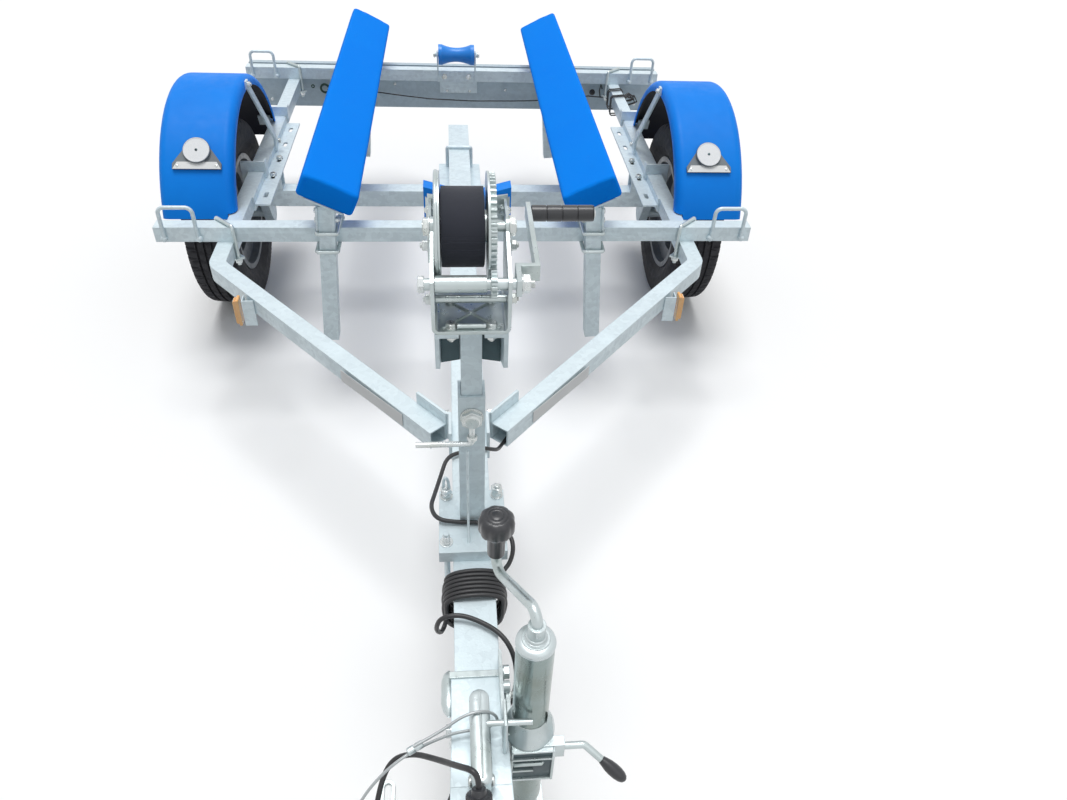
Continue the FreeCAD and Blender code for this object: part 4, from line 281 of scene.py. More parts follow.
GUARD = guard_plastic()
ROLLER = plastic("roller_blue", (0.008, 0.28, 0.88), (0.006, 0.24, 0.80), 0.38, 700, 0.00015, 0.1, 0.002)
BLACK = plastic("black_plastic", (0.022, 0.023, 0.027), (0.030, 0.031, 0.036), 0.34, 1400, 0.0001, 0.25)
LAMP_BODY = plastic("lamp_black", (0.018, 0.018, 0.02), (0.026, 0.026, 0.028), 0.35, 1200, 0.0001)
SHEATH = plastic("lead_sheath", (0.02, 0.02, 0.022), (0.03, 0.03, 0.032), 0.38, 1500, 0.00008, edge=0)
HUB = plastic("jockey_hub_grey", (0.42, 0.44, 0.45), (0.36, 0.38, 0.39), 0.4, 800, 0.0001)
GROMMET = plastic("grommet_green", (0.012, 0.055, 0.035), (0.01, 0.035, 0.022), 0.4, 900, 0.0001)
BACKING = plastic("reflector_backing", (0.20, 0.23, 0.25), (0.16, 0.18, 0.20), 0.4, 800, 0.0001)
LABEL = plastic("blank_label", (0.84, 0.85, 0.84), (0.78, 0.79, 0.79), 0.35, 500, 0.00003, edge=0)


def lens(name, colour, deep, ribs_scale, axis):
    """A moulded lens with ribs behind a glossy face."""
    g = surface(name, colour, 0.14)
    ribs = g.waves(ribs_scale, axis)
    g.skin({
        "Base Color": g.blend(ribs, deep, colour),
        "Coat Weight": 0.6, "Coat Roughness": 0.05, "Specular IOR Level": 0.6,
    })
    return g.bump(g.sum(ribs, g.comb(420)), 0.0003)


RED = lens("lamp_red", (0.62, 0.012, 0.012), (0.30, 0.004, 0.004), 60, "X")
AMBER = lens("lamp_amber", (0.95, 0.34, 0.03), (0.66, 0.18, 0.01), 70, "Z")
MARKER = lens("marker_amber", (1.0, 0.62, 0.24), (0.90, 0.42, 0.10), 110, "Z")
CLEAR = lens("lamp_clear", (0.82, 0.84, 0.86), (0.55, 0.58, 0.60), 60, "X")


def prisms():
    """The reflectors' white honeycomb face."""
    g = surface("reflector_white", (0.86, 0.88, 0.9), 0.2)
    comb = g.comb(520)
    face = g.blend(g.spread(comb, 0, 0.6), (0.95, 0.96, 0.97), (0.84, 0.86, 0.88))
    g.skin({"Base Color": face, "Coat Weight": 0.5, "Coat Roughness": 0.06})
    return g.bump(comb, 0.0001)


WHITE = prisms()


def rubber(name, colour, dust):
    """Matt rubber with dust in patches."""
    g = surface(name, colour, 0.8)
    dusty = g.spread(g.noise(22, 5), 0.5, 0.8, 0, 0.6)
    g.skin({"Base Color": g.blend(dusty, colour, dust), "Roughness": g.wear(60, 3, 0.68, 0.88)})
    return g.bump(g.noise(700, 4), 0.00025)


TYRE = rubber("tyre_rubber", (0.014, 0.014, 0.018), (0.040, 0.040, 0.042))
SOLID = rubber("jockey_rubber", (0.03, 0.03, 0.032), (0.075, 0.073, 0.07))


def rim_paint():
    """The rims' silver paint, made dark grey as painted shade of the wheels' insides."""
    g = surface("rim_silver_painted_shade", (0.66, 0.68, 0.70), 0.36, 0.55)
    shaded_silver = g.drift(30, 4, 0.4, 0.7, (0.20, 0.215, 0.23), (0.15, 0.16, 0.175))
    g.skin({"Base Color": shaded_silver, "Roughness": g.wear(120, 3, 0.3, 0.46)})
    return g.bump(g.noise(900, 2), 0.00006, 0.0015)


SHADED_RIM = rim_paint()


def bunk_cloth():
    """The bunks' tight short-pile covering."""
    g = surface("bunk_cloth", (0.0, 0.25, 0.98), 0.9)
    pile = g.noise(1500, 4, 0.7)
    patch = g.spread(g.noise(7, 3), 0.35, 0.7)
    fibre = g.blend(g.spread(pile, 0.3, 0.7), (0.0, 0.215, 0.94), (0.0, 0.29, 1.0))
    g.skin({
        "Base Color": g.blend(g.spread(patch, 0, 1, 0, 0.3), fibre, (0.0, 0.22, 0.95)),
        "Specular IOR Level": 0.12,
        "Sheen Weight": 0.03, "Sheen Roughness": 0.6, "Sheen Tint": (0.1, 0.45, 1.0),
    })
    return g.bump(g.sum(pile, g.noise(420, 2)), 0.0007)


CLOTH = bunk_cloth()


def webbing():
    """The winch strap's woven face: ribs across and ribs along."""
    g = surface("strap_webbing", (0.05, 0.05, 0.06), 0.62)
    weave = g.sum(g.waves(900, "X"), g.waves(700, "Y"), "MULTIPLY")
    g.skin({
        "Base Color": g.blend(weave, (0.030, 0.033, 0.047), (0.056, 0.060, 0.080)),
        "Sheen Weight": 0.15, "Sheen Roughness": 0.4, "Specular IOR Level": 0.3,
    })
    return g.bump(g.sum(weave, g.noise(800, 3)), 0.0002)


WEBBING = webbing()


def cable_sheath():
    """A laid steel cable in a clear grey coat."""
    g = surface("coated_cable", (0.42, 0.45, 0.46), 0.3, 0.3)
    lay = g.waves((260, 260, 260), "DIAGONAL")
    grey = g.blend(lay, (0.30, 0.33, 0.34), (0.58, 0.61, 0.62))
    g.skin({"Base Color": grey, "Coat Weight": 0.8, "Coat Roughness": 0.1})
    return g.bump(lay, 0.0001)


CABLE = cable_sheath()

PAINT = {
    "bright_zinc": ZINC, "rim_steel": SHADED_RIM, "tyre_rubber": TYRE, "wheel_rubber": SOLID, "blue_plastic": GUARD,
    "bunk_cover": CLOTH, "black_plastic": BLACK, "white_plastic": WHITE, "lamp_red": RED,
    "marker_amber": AMBER, "strap_webbing": WEBBING, "cord_black": SHEATH, "coated_cable": CABLE,
    "galvanised_steel": STEEL,
}
for part in frame["record"]["subparts"]:
    mesh = NODES[part["node"]].data
    mesh.materials.clear()
    mesh.materials.append(PAINT[part["material_slot"]])
for label, material in (
    ("keel_roller", ROLLER), ("bow_stop", STOP), ("guard_reflectors", BACKING), ("jockey_tube", DARKENED_TUBE_ZINC),
    ("jockey_stem", DARKENED_TUBE_ZINC), ("light_board", SHEET), ("crossbar_clamps", ZINC), ("post_clamp_handle", BOLTS),
):
    NODES[label].data.materials[0] = material


# ---- mesh tools ----
UP, DOWN, BACK, FRONT = Vector((0, 0, 1)), Vector((0, 0, -1)), Vector((0, 1, 0)), Vector((0, -1, 0))
RIGHT, LEFT = Vector((1, 0, 0)), Vector((-1, 0, 0))
OUTWARD = {-1: LEFT, 1: RIGHT}


def mm(x, y, z):
    """A shift in millimetres."""
    return Vector((x / 1000, y / 1000, z / 1000))


def middle_of(node):
    """The middle of a CAD node's box."""
    low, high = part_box(node)
    return (low + high) / 2


def basis(axis):
    """An axis of length 1 and two directions square to it."""
    axis = Vector(axis).normalized()
    side = axis.cross(UP if abs(axis.z) < 0.9 else BACK).normalized()
    return axis, side, axis.cross(side)


def along(start, axis, height):
    """A place further along an axis, by millimetres."""
    return start + axis.normalized() * (height / 1000)


def circle(centre, side, other, radius, count, twist=0.0):
    """Points round a centre in the plane of two directions."""
    angles = [twist + 2 * math.pi * i / count for i in range(count)]
    return [centre + (side * math.cos(a) + other * math.sin(a)) * (radius / 1000) for a in angles]


def once_round(count, place):
    """A closed line's places, or a closed form's loops, from a function of an angle's cosine and sine."""
    angles = [2 * math.pi * k / count for k in range(count + 1)]
    return [place(math.cos(a), math.sin(a)) for a in angles]


class Pieces:
    """Small parts gathered in one mesh."""

    def __init__(self, name, material, body="trailer_frame"):
        self.name, self.material, self.body = name, material, body
        self.mesh = bmesh.new()

    def rings(self, loops, caps=True):
        """Skin a list of closed loops of points."""
        made = [[self.mesh.verts.new(point) for point in loop] for loop in loops]
        count = len(made[0])
        for first, second in zip(made, made[1:]):
            for i in range(count):
                j = (i + 1) % count
                self.mesh.faces.new((first[i], first[j], second[j], second[i]))
        if caps:
            self.mesh.faces.new(list(reversed(made[0])))
            self.mesh.faces.new(made[-1])

    def turned(self, start, axis, profile, sides=24, twist=0.0, hollow=False):
        """A lathed piece: (height along the axis, radius) in millimetres. A hollow one is a ring."""
        axis, side, other = basis(axis)
        loops = [circle(start + axis * (h / 1000), side, other, r, sides, twist) for h, r in profile]
        self.rings(loops + loops[:1] if hollow else loops, caps=not hollow)

    def fluted(self, start, axis, profile, flutes, sides):
        """A lathed piece with flutes: (height, radius, depth of the flutes) in millimetres."""
        axis, side, other = basis(axis)
        loops = []
        for height, radius, depth in profile:
            centre, loop = along(start, axis, height), []
            for a in (2 * math.pi * k / sides for k in range(sides)):
                r = radius - depth * (0.5 - 0.5 * math.cos(flutes * a)) ** 2
                loop.append(centre + (side * math.cos(a) + other * math.sin(a)) * (r / 1000))
            loops.append(loop)
        self.rings(loops)

    def hexagon(self, start, axis, across, height, dome=0.6, twist=0.3):
        """A hexagon head or nut with its chamfer."""
        corner, top = across / math.sqrt(3), along(start, axis, height - dome)
        profile = [(0, corner), (height - dome, corner), (height, corner - 1.6 * dome)]
        self.turned(start, axis, profile, 6, twist)
        self.turned(top, axis, [(0, across * 0.49), (dome * 1.15, across * 0.44)])

    def washer(self, start, axis, radius, thick=1.6):
        """A washer. Gives back its top."""
        self.turned(start, axis, [(0, radius), (thick - 0.3, radius), (thick, radius - 0.4)], 28)
        return along(start, axis, thick)

    def bolt(self, start, axis, size=8):
        """A bolt head on its washer."""
        self.hexagon(self.washer(start, axis, size * 1.05), axis, size * 1.625, size * 0.65)

    def nut(self, start, axis, size=10, stub=9):
        """A nut on its washer, with the thread that stands out of it."""
        top = self.washer(start, axis, size * 1.02)
        self.hexagon(top, axis, size * 1.6, size * 0.8)
        self.thread(along(top, axis, size * 0.75), axis, size, stub)

    def stud(self, start, axis, stub=6):
        """A nut on the end of a U-bolt."""
        self.washer(start, axis, 10)
        self.hexagon(along(start, axis, 1.6), axis, 16, 8)
        self.thread(along(start, axis, 9), axis, 10.5, stub)

    def thread(self, start, axis, size, length):
        """A threaded end."""
        profile, step = [], 1.5
        for i in range(int(length / step)):
            profile += [(i * step, size / 2 - 0.7), (i * step + step / 2, size / 2)]
        end = profile[-1][0]
        self.turned(start, axis, profile + [(end + 1, size / 2 - 1.2)], 16)

    def plate(self, corners, normal, thick, edge=0.8):
        """A flat plate with a bevelled edge, from its lower outline."""
        normal = Vector(normal).normalized()
        middle = sum(corners, Vector()) / len(corners)
        inset = [p + (middle - p).normalized() * (edge / 1000) for p in corners]
        lift, drop = normal * (thick / 1000), normal * (edge / 1000)
        sides = [[p + drop for p in corners], [p + lift - drop for p in corners]]
        self.rings([inset, *sides, [p + lift for p in inset]])

    def box(self, x, y, z, along, edge=1.0):
        """A bevelled box from three spans in millimetres, built up along one axis."""
        spans, k = (x, y, z), "xyz".index(along)
        a, b = [i for i in range(3) if i != k]
        corners = []
        for i, j in ((0, 0), (1, 0), (1, 1), (0, 1)):
            place = [span[0] for span in spans]
            place[a], place[b] = spans[a][i], spans[b][j]
            corners.append(at(*place))
        self.plate(corners, (RIGHT, BACK, UP)[k], spans[k][1] - spans[k][0], edge)

    def bar(self, points, radius, sides=12):
        """A round bar through points."""
        loops, previous = [], None
        for i, point in enumerate(points):
            axis, side, other = basis(points[min(i + 1, len(points) - 1)] - points[max(i - 1, 0)])
            if previous is not None:
                side = (previous - axis * previous.dot(axis)).normalized()
                other = axis.cross(side)
            previous = side
            loops.append(circle(point, side, other, radius, sides))
        self.rings(loops)

    def done(self, smooth=35):
        """The finished object: smooth up to an angle in degrees, on its body, with its material's slot."""
        bmesh.ops.recalc_face_normals(self.mesh, faces=self.mesh.faces)
        data = bpy.data.meshes.new(self.name)
        for face in self.mesh.faces:
            face.smooth = True
        limit = math.radians(smooth)
        for edge in self.mesh.edges:
            edge.smooth = len(edge.link_faces) == 2 and edge.calc_face_angle(0) < limit
        self.mesh.to_mesh(data)
        self.mesh.free()
        return placed(self.name, data, self.material, self.body)


def placed(name, data, material, body):
    """An object in the scene on its body."""
    data.materials.append(material)
    made = linked(name, data)
    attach(made, body)
    return made


# ---- cords ----
LEAD_REAR = [
    (78, -719, 419), (72, -728, 416), (62, -743, 415), (55, -764, 425), (46, -787, 446), (21, -798, 463),
    (-12, -801, 457), (-42, -816, 459), (-53, -855, 451), (-63, -905, 457), (-70, -955, 477),
    (-58, -987, 481), (-24, -990.5, 477), (12, -992, 477), (42, -1004, 478), (62, -1023, 477),
    (65, -1044, 468), (59, -1058, 452), (47, -1068, 443),
]
LEAD_FRONT = [
    (-48.5, -1134, 394), (-53, -1147, 399), (-58, -1155, 413), (-60, -1161, 434), (-52, -1162, 459),
    (-24, -1161, 464), (8, -1172, 459), (38, -1196, 460), (55, -1222, 446), (59, -1242, 410),
    (50, -1258, 372), (20, -1278, 348), (-18, -1310, 332), (-38, -1358, 318), (-62, -1412, 308),
    (-98, -1452, 314), (-127, -1462, 342), (-140, -1438, 374), (-136, -1394, 402), (-121, -1358, 424),
    (-90, -1358, 442), (-54, -1388, 480), (-29, -1417, 520), (-12, -1431, 538), (-4.5, -1437.5, 530),
    (-4.5, -1444.5, 520),
]
# One turn of the winding round the drawbar, from its upper right corner over the top: (x, z).
TURN = [
    (45, 444), (33.5, 455), (12, 460), (-12, 460), (-33.5, 455), (-45, 444), (-49, 427), (-48.5, 408),
    (-45, 390), (-35, 374), (-16, 367), (16, 367), (35, 374), (45, 390), (48.5, 408), (49, 427),
]
SLACK = [0.55, 0.9, 0.7, 1.0, 0.8, 0.95, 0.6]   # how far each turn stands off the drawbar
HUG_X, HUG_Z = DRAW_X + 5, DRAW_LOW - 5          # a turn without slack lies here, beside and below
WINDING_START, WINDING_LENGTH = -1076.5, 50


def winding():
    """The lead's turns, which lie beside each other and sag by different amounts under the drawbar."""
    points = []
    steps = 6 * len(TURN) + 7
    for i in range(steps + 1):
        x, z = TURN[i % len(TURN)]
        slack = SLACK[min((i + 5) // len(TURN), len(SLACK) - 1)]
        if z < 440:
            if abs(x) > HUG_X:
                x = math.copysign(HUG_X + (abs(x) - HUG_X) * slack, x)
            if z < HUG_Z:
                z = HUG_Z - (HUG_Z - z) * slack
        points.append((x, WINDING_START - WINDING_LENGTH * i / steps, z))
    return points


BREAKAWAY = [
    (6, -1344, 467), (-24, -1345, 467), (-55, -1355, 469), (-92, -1373, 472), (-126, -1390, 456),
    (-155, -1405, 420), (-176, -1423, 372), (-186, -1434, 320), (-188, -1439, 262), (-187, -1440, 204),
    (-188, -1438, 146), (-187, -1433, 90), (-182, -1418, 38), (-175, -1384, 6), (-171, -1340, 2.2),
    (-164, -1292, 2.2), (-160, -1250, 2.2),
]
EYE = [
    (6, -1344, 467), (24, -1341, 474), (22, -1338, 491), (4, -1338, 504), (-22, -1343, 502),
    (-50, -1355, 488), (-86, -1369, 480),
]


def cord_curve(name, points, radius, material):
    """A cord as one smooth spline through its frame."""
    data = bpy.data.curves.new(name, "CURVE")
    data.dimensions = "3D"
    data.resolution_u = 6
    data.bevel_depth = radius / 1000
    data.bevel_resolution = 3
    data.use_fill_caps = True
    spline = data.splines.new("NURBS")
    spline.points.add(len(points) - 1)
    for point, place in zip(spline.points, points):
        point.co = (*at(*place), 1)
    spline.order_u = 3
    spline.use_endpoint_u = True
    return placed(name, data, material, "trailer_frame")


lead = cord_curve("lead", LEAD_REAR + winding() + LEAD_FRONT, 3.75, SHEATH)
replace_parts(lead, "lead_rear", "lead_front", "lead_winding")
cable = cord_curve("breakaway_line", BREAKAWAY, 2, CABLE)
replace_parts(cable, "breakaway_cable")
eye = cord_curve("breakaway_eye", EYE, 2, CABLE)


# ---- bunks ----
def tilted(side):
    """A bunk's directions: across its face, uphill, and square out of it."""
    run, rise = math.cos(TILT), math.sin(TILT)
    return Vector((side * run, 0, rise)), Vector((-side * rise, 0, run))


def rounded_section(half, high, curve):
    """Points round a rectangle with rounded corners."""
    arcs = []
    for corner, (sx, sz) in enumerate(((1, 1), (-1, 1), (-1, -1), (1, -1))):
        x, z = sx * (half - curve), sz * (high - curve)
        angles = [math.radians(90 * corner + 15 * i) for i in range(7)]
        arcs.append([(x + curve * math.cos(a), z + curve * math.sin(a)) for a in angles])
    points = []
    for corner, arc in enumerate(arcs):
        (x, z), (end_x, end_z), count = arc[-1], arcs[(corner + 1) % 4][0], 7 if corner % 2 else 16
        points += arc
        points += [(x + (end_x - x) * k / count, z + (end_z - z) * k / count) for k in range(1, count)]
    return points


def bunk(hand, side):
    """A bunk's cover pulled over its board: crowned face, soft edges, the ends folded like a parcel."""
    low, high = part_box(f"bunk_{hand}")
    centre, long = (low + high) / 2, (high.y - low.y) * 500
    across, normal = tilted(side)
    half, thick, curve = 70.3, 29.8, 9
    section = rounded_section(half, thick, curve)

    def place(u, w, v):
        return centre + across * (u / 1000) + normal * (w / 1000) + mm(0, v, 0)

    def ring(v, shrink, bulge=0):
        """The section at a place along the bunk, drawn in at its ends, crowned and rippled."""
        loop = []
        for u, w in section:
            u, w = u * (1 - shrink / half), w * (1 - shrink / thick)
            if w > 0:
                w += 2.2 * (1 - (u / half) ** 2) * (w / thick)
            u += 0.9 * (1 - (w / thick) ** 2) * u / half
            point = place(u, w, v + bulge)
            near = max(0, 1 - (long - abs(v)) / 60)
            ripple = noise.noise(point * 55) * (0.25 + 0.9 * near) + noise.noise(point * 14) * 0.6
            loop.append(point + normal * (ripple * (w > 0) / 1000))
        return loop

    ends = ((0.25, 0.9), (0.5, 1.3), (0.75, 1.5), (0.94, 1.6))
    caps = [(curve, 0)] + [(curve + share * (thick - curve), bulge) for share, bulge in ends]
    stations = [curve * (1 - math.cos(math.radians(a))) for a in range(10, 91, 10)]
    steps = 110
    places = [-long + s for s in stations] + [(-1 + 2 * k / steps) * (long - curve) for k in range(1, steps)]
    places += [long - s for s in reversed(stations)]
    loops = [ring(-long, shrink, -bulge) for shrink, bulge in reversed(caps)]
    for v in places:
        edge = max(0.0, curve - (long - abs(v)))
        loops.append(ring(v, curve - math.sqrt(max(0, curve ** 2 - edge ** 2))))
    loops += [ring(long, shrink, bulge) for shrink, bulge in caps]
    cover = Pieces(f"bunk_cover_{hand}", CLOTH)
    cover.rings(loops)
    for end in SIDES:
        for edge in SIDES:
            fold = ((edge * 60, 20), (edge * 60, -21), (edge * 26, -21))
            cover.plate([place(u, w, end * (long + 0.4)) for u, w in fold], (0, end, 0), 1.1, 0.5)
    made = cover.done(50)
    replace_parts(made, f"bunk_{hand}")
    staples = Pieces(f"bunk_staples_{hand}", BOLTS)
    for row in (-52, 52):
        for k in range(25):
            start = place(row, -(thick + 0.5), -long + 30 + k * (2 * long - 60) / 24 - 5)
            staples.bar([start, start + mm(0, 10, 0)], 0.6, 6)
    staples.done()


bunk("left", -1)
bunk("right", 1)

# ---- winch strap ----
low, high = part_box("strap_roll")
hub, roll_radius = middle_of("strap_roll"), (high.z - low.z) * 500
strap = Pieces("strap_webbing_roll", WEBBING, "drum")
turns, thick, core, half = 17, 1.35, 22.6, 27.6
section = [(-half, 0.2), (-half + 0.5, 0), (half - 0.5, 0), (half, 0.2)]
section += [(-x, thick - r) for x, r in section]
loops = []
for turn in (k / 60 for k in range(turns * 60 + 1)):
    radius = core + (roll_radius - thick - core) * turn / turns
    angle = 2 * math.pi * turn - 1.1
    out = Vector((0, math.cos(angle), math.sin(angle)))
    shift = 0.35 * math.sin(turn * 2.1) - 1.4 + 0.2 * math.sin(turn * 7.7)
    loops.append([hub + out * ((radius + r) / 1000) + mm(x + shift, 0, 0) for x, r in section])
strap.rings(loops)
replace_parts(strap.done(60), "strap_roll")

# ---- reflectors ----
faces = Pieces("reflector_faces", WHITE)
strips = Pieces("reflector_strips", LABEL)
screws = Pieces("reflector_screws", BOLTS)
middles = Pieces("reflector_middles", SHADE_AND_DARK_ZINC)
slope = math.radians(46.5)
normal = Vector((0, -math.cos(slope), math.sin(slope)))
climb = Vector((0, math.sin(slope), math.cos(slope)))
for side in SIDES:
    base = along(at(side * 693, GUARD_Y, GUARD_Z), normal, GUARD_RADIUS + 0.3)
    faces.turned(along(base, normal, 9.8), normal, [
        (0, 33.8), (1.2, 33.8), (1.9, 33.2), (1.9, 31.8), (1.1, 31.4), (1.3, 14), (1.4, 3)], 48)
    outline = ((-62, -49.5), (62, -49.5), (51, -30), (-51, -30))
    corners = [base + mm(x, 0, 0) + climb * (v / 1000) + normal * 0.003 for x, v in outline]
    strips.plate(corners, normal, 1.2, 0.5)
    middles.turned(along(base, normal, 10.8), normal, [
        (0, 3.8), (1.1, 3.6), (1.7, 2.2), (1.7, 1.2), (0.9, 1.1)], 16)
    for x in (-50, 50):
        spot = base + mm(x, 0, 0) - climb * 0.041 + normal * 0.0042
        screws.turned(spot, normal, [(0, 4), (1, 3.6), (1.7, 2.2), (1.7, 1.2), (1, 1.1)], 16)
for piece in (faces, strips, screws, middles):
    piece.done()

# ---- bolts, nuts and threads ----
bolts = Pieces("frame_bolts", BOLTS)
plates = Pieces("clamp_plates", STEEL)
lean = math.tan(POST_LEAN)
for back in CROSSBARS:
    for side in SIDES:
        # the nuts under the rails' U-bolts
        for s in SIDES:
            bolts.stud(at(side * (600 + s * 25.25), back + 20 + s * 25.25, 404), DOWN)
        # the posts' U-bolts: a plate and four nuts behind the crossbar
        plates.box((side * POST_X - 34, side * POST_X + 34), (back + 40.3, back + 44.3), (438, 502), "y")
        for dz in (5.5, -45.5):
            for s in SIDES:
                bolts.stud(at(side * (POST_X - lean * dz + s * 26.1), back + 44.3, BAR_TOP + dz), BACK)
        # bunk brackets: bolts through the post, screws into the board
        out = Vector((side * math.cos(POST_LEAN), 0, math.sin(POST_LEAN)))
        for dz in (32, 58):
            bolts.bolt(at(side * (POST_X + 25 - lean * dz), back - 20, BAR_TOP + dz), out)
            bolts.nut(at(side * (POST_X - 20 - lean * dz), back - 20, BAR_TOP + dz), -out, 8, 4)
        across, normal = tilted(side)
        under = at(side * 310, back - 20, 630) - normal * 0.0653
        for u in (-38, 38):
            for v in (-16, 16):
                bolts.turned(under + across * (u / 1000) + mm(0, v, 0), -normal, [
                    (0, 6), (1.4, 5.6), (2.6, 3.4), (2.6, 1.6), (1.6, 1.5)], 18)
for side in SIDES:
    out = OUTWARD[side]
    # axle flanges: bolts in the flange's wall, and two that hold the axle's bracket to the rail
    for back in (320, 440, 560, 680, 800):
        if back in (440, 560):
            bolts.bolt(at(side * 554, back, 430), UP, 10)
            bolts.nut(at(side * 554, back, 425), DOWN, 10, 6)
        bolts.bolt(at(side * 620, back + 30, 430), out)
        bolts.nut(at(side * 575, back + 30, 418), -out, 8, 3)
    # the A-frame's junction: two nuts on each side of the drawbar
    for y in (-665, -690):
        bolts.nut(at(side * 38.5, y, 432), out, 8, 5)
    # mudguards: two bolts above each stirrup, two on the rear tab, one at the strut and one at its foot
    for back in (428, 868):
        for z in (440, 426):
            bolts.bolt(at(side * 632, back, z), FRONT, 6)
    turn = math.radians(159)
    outer = Vector((0, -math.cos(turn), math.sin(turn)))
    for x in (632, 650):
        spot = along(at(side * x, GUARD_Y, GUARD_Z), outer, GUARD_RADIUS + 0.1)
        bolts.turned(spot, outer, [(0, 8), (1.5, 7.6), (3, 5.6), (4, 2.6)], 20)
    turn, reach = math.radians(92), GUARD_RADIUS - 15
    spot = at(side * 596.5, GUARD_Y - reach * math.cos(turn), GUARD_Z + reach * math.sin(turn))
    bolts.nut(spot, -out, 8, 4)
    bolts.bolt(at(side * 562, 620, 462), -out)
    # winch post base: two nuts on each stud, apart from the left front one, which is a bare thread
    for y in (MAST_Y - 43.3, MAST_Y + 58):
        stud = at(side * 43, y, 472)
        bolts.washer(stud, UP, 11, 2)
        if side < 0 and y < MAST_Y:
            bolts.thread(stud, UP, 12, 17)
            continue
        bolts.hexagon(along(stud, UP, 2), UP, 17, 9)
        bolts.hexagon(along(stud, UP, 11.4), UP, 17, 9, twist=0.7)
        bolts.thread(along(stud, UP, 20), UP, 10.5, 5)
    # the axle's saddle: nuts under its ties
    for y in (AXLE_Y - 145, AXLE_Y + 145):
        bolts.stud(at(side * 38, y, 381), DOWN, 3)
    # coupling: two bolts through sleeve and drawbar, with one nut on the right
    for y in (-1270, -1320):
        if side < 0 or y == -1320:
            bolts.bolt(at(side * 37.5, y, 420), out, 10)
        else:
            bolts.nut(at(37.5, y, 420), out, 10, 5)
    # bow stop's straps and the drum's axle on the winch's side plates
    bolts.nut(at(side * 56, -909, 945), out, 8, 4)
    bolts.hexagon(bolts.washer(at(side * 52, DRUM_Y, DRUM_Z), out, 15, 2), out, 22, 7)
    bolts.bolt(at(side * 57, -805, 945), FRONT, 6)
    # keel roller: heads on the pin, bolts through the bracket's back
    bolts.turned(at(side * 77.5, 1200, 556), out, [
        (0, 11), (2, 11), (2.5, 10), (2.5, 8.5), (6, 8.5), (7, 7)])
    bolts.bolt(at(side * 45, 1225, 470), FRONT, 10)
    # light board: heads on the spacers
    for x in (508.2, 184.8):
        bolts.bolt(at(side * x, 1294.6, 470), BACK)

# ---- winch and winch post ----
for x in (-27, 27):
    for y in (-1000, -938):
        bolts.bolt(at(x, y, 875), UP)
        bolts.nut(at(x, y, 864), DOWN, 8, 5)
reach, fall = 85, math.radians(30)              # from the drum's axle down to the crank's shaft
SHAFT_Y, SHAFT_Z = DRUM_Y - reach * math.cos(fall), DRUM_Z - reach * math.sin(fall)
trim = Pieces("winch_trim", ZINC)
trim.bar([at(-46.5, -984, 908), at(46.5, -984, 908)], 5.5, 20)      # the tie below the shaft
for side in SIDES:
    # the base's crossed ribs, and the tie's nuts
    trim.bar([at(side * 38, -1005, 875.2), at(0, -968, 875.6), at(-side * 38, -931, 875.2)], 2.4, 10)
    bolts.nut(at(side * 52, -984, 908), OUTWARD[side], 8, 3)
trim.bar([at(-19, -1004, 878.4), at(19, -1004, 878.4)], 3.4, 18)
sleeve = [(0, 8.8), (0, 11.5), (66.5, 11.5), (66.5, 8.8)]
trim.turned(at(-46.5, SHAFT_Y, SHAFT_Z), RIGHT, sleeve, 28, hollow=True)
trim.done()

flange = Pieces("drum_rim", ZINC, "drum")
for x, radius, thick in ((-43, 70, 2.6), (-40.5, 66, 1.6)):
    flange.bar(once_round(96, lambda c, s: at(x, DRUM_Y + radius * c, DRUM_Z + radius * s)), thick)
flange.done()

wings = Pieces("bow_stop_wings", ZINC)
for side in SIDES:
    outline = ((28, 958), (28, 972), (57, 968), (57, 924), (44, 922))
    out = Vector((0.513 * side, -0.858, 0))
    wings.plate([at(side * x, -832.4 + 0.598 * x, z) for x, z in outline], out, 3)
    wings.bolt(at(side * 50.6, -805.6, 946), out)
wings.done()

screw = Pieces("post_clamp_nut", BOLTS)
screw.hexagon(screw.washer(at(0, -985.4, 702), FRONT, 17.5, 2.4), FRONT, 29, 8, twist=0.52)
screw.turned(at(0, -995, 702), FRONT, [(0, 11), (1, 11.8), (2, 11), (3, 11.8), (4, 11), (5, 10.4)], 32)
screw.turned(at(0, -996.5, 668), UP, [(0, 7), (1, 8), (6, 8), (7, 7)])
screw.done()

seam = Pieces("mast_seam", STEEL)
seam.bar([at(-7, -1046, 451.6), at(-7, -1004, 505), at(-7, -1001, 530), at(-7, -1001, 648)], 2.1)
seam.bar(once_round(40, lambda c, s: at(-43 + 4.5 * c, -927, 497 + 20 * s)), 2.6)
seam.done()

crank_nuts = Pieces("crank_nuts", BOLTS, "crank")
crank_nuts.hexagon(crank_nuts.washer(at(65, SHAFT_Y, SHAFT_Z), RIGHT, 13, 2), RIGHT, 22, 9)
crank_nuts.thread(at(76, SHAFT_Y, SHAFT_Z), RIGHT, 12, 6)
crank_nuts.hexagon(at(-60, SHAFT_Y, SHAFT_Z), LEFT, 20, 8)
crank_nuts.done()

bolts.done()
plates.done()


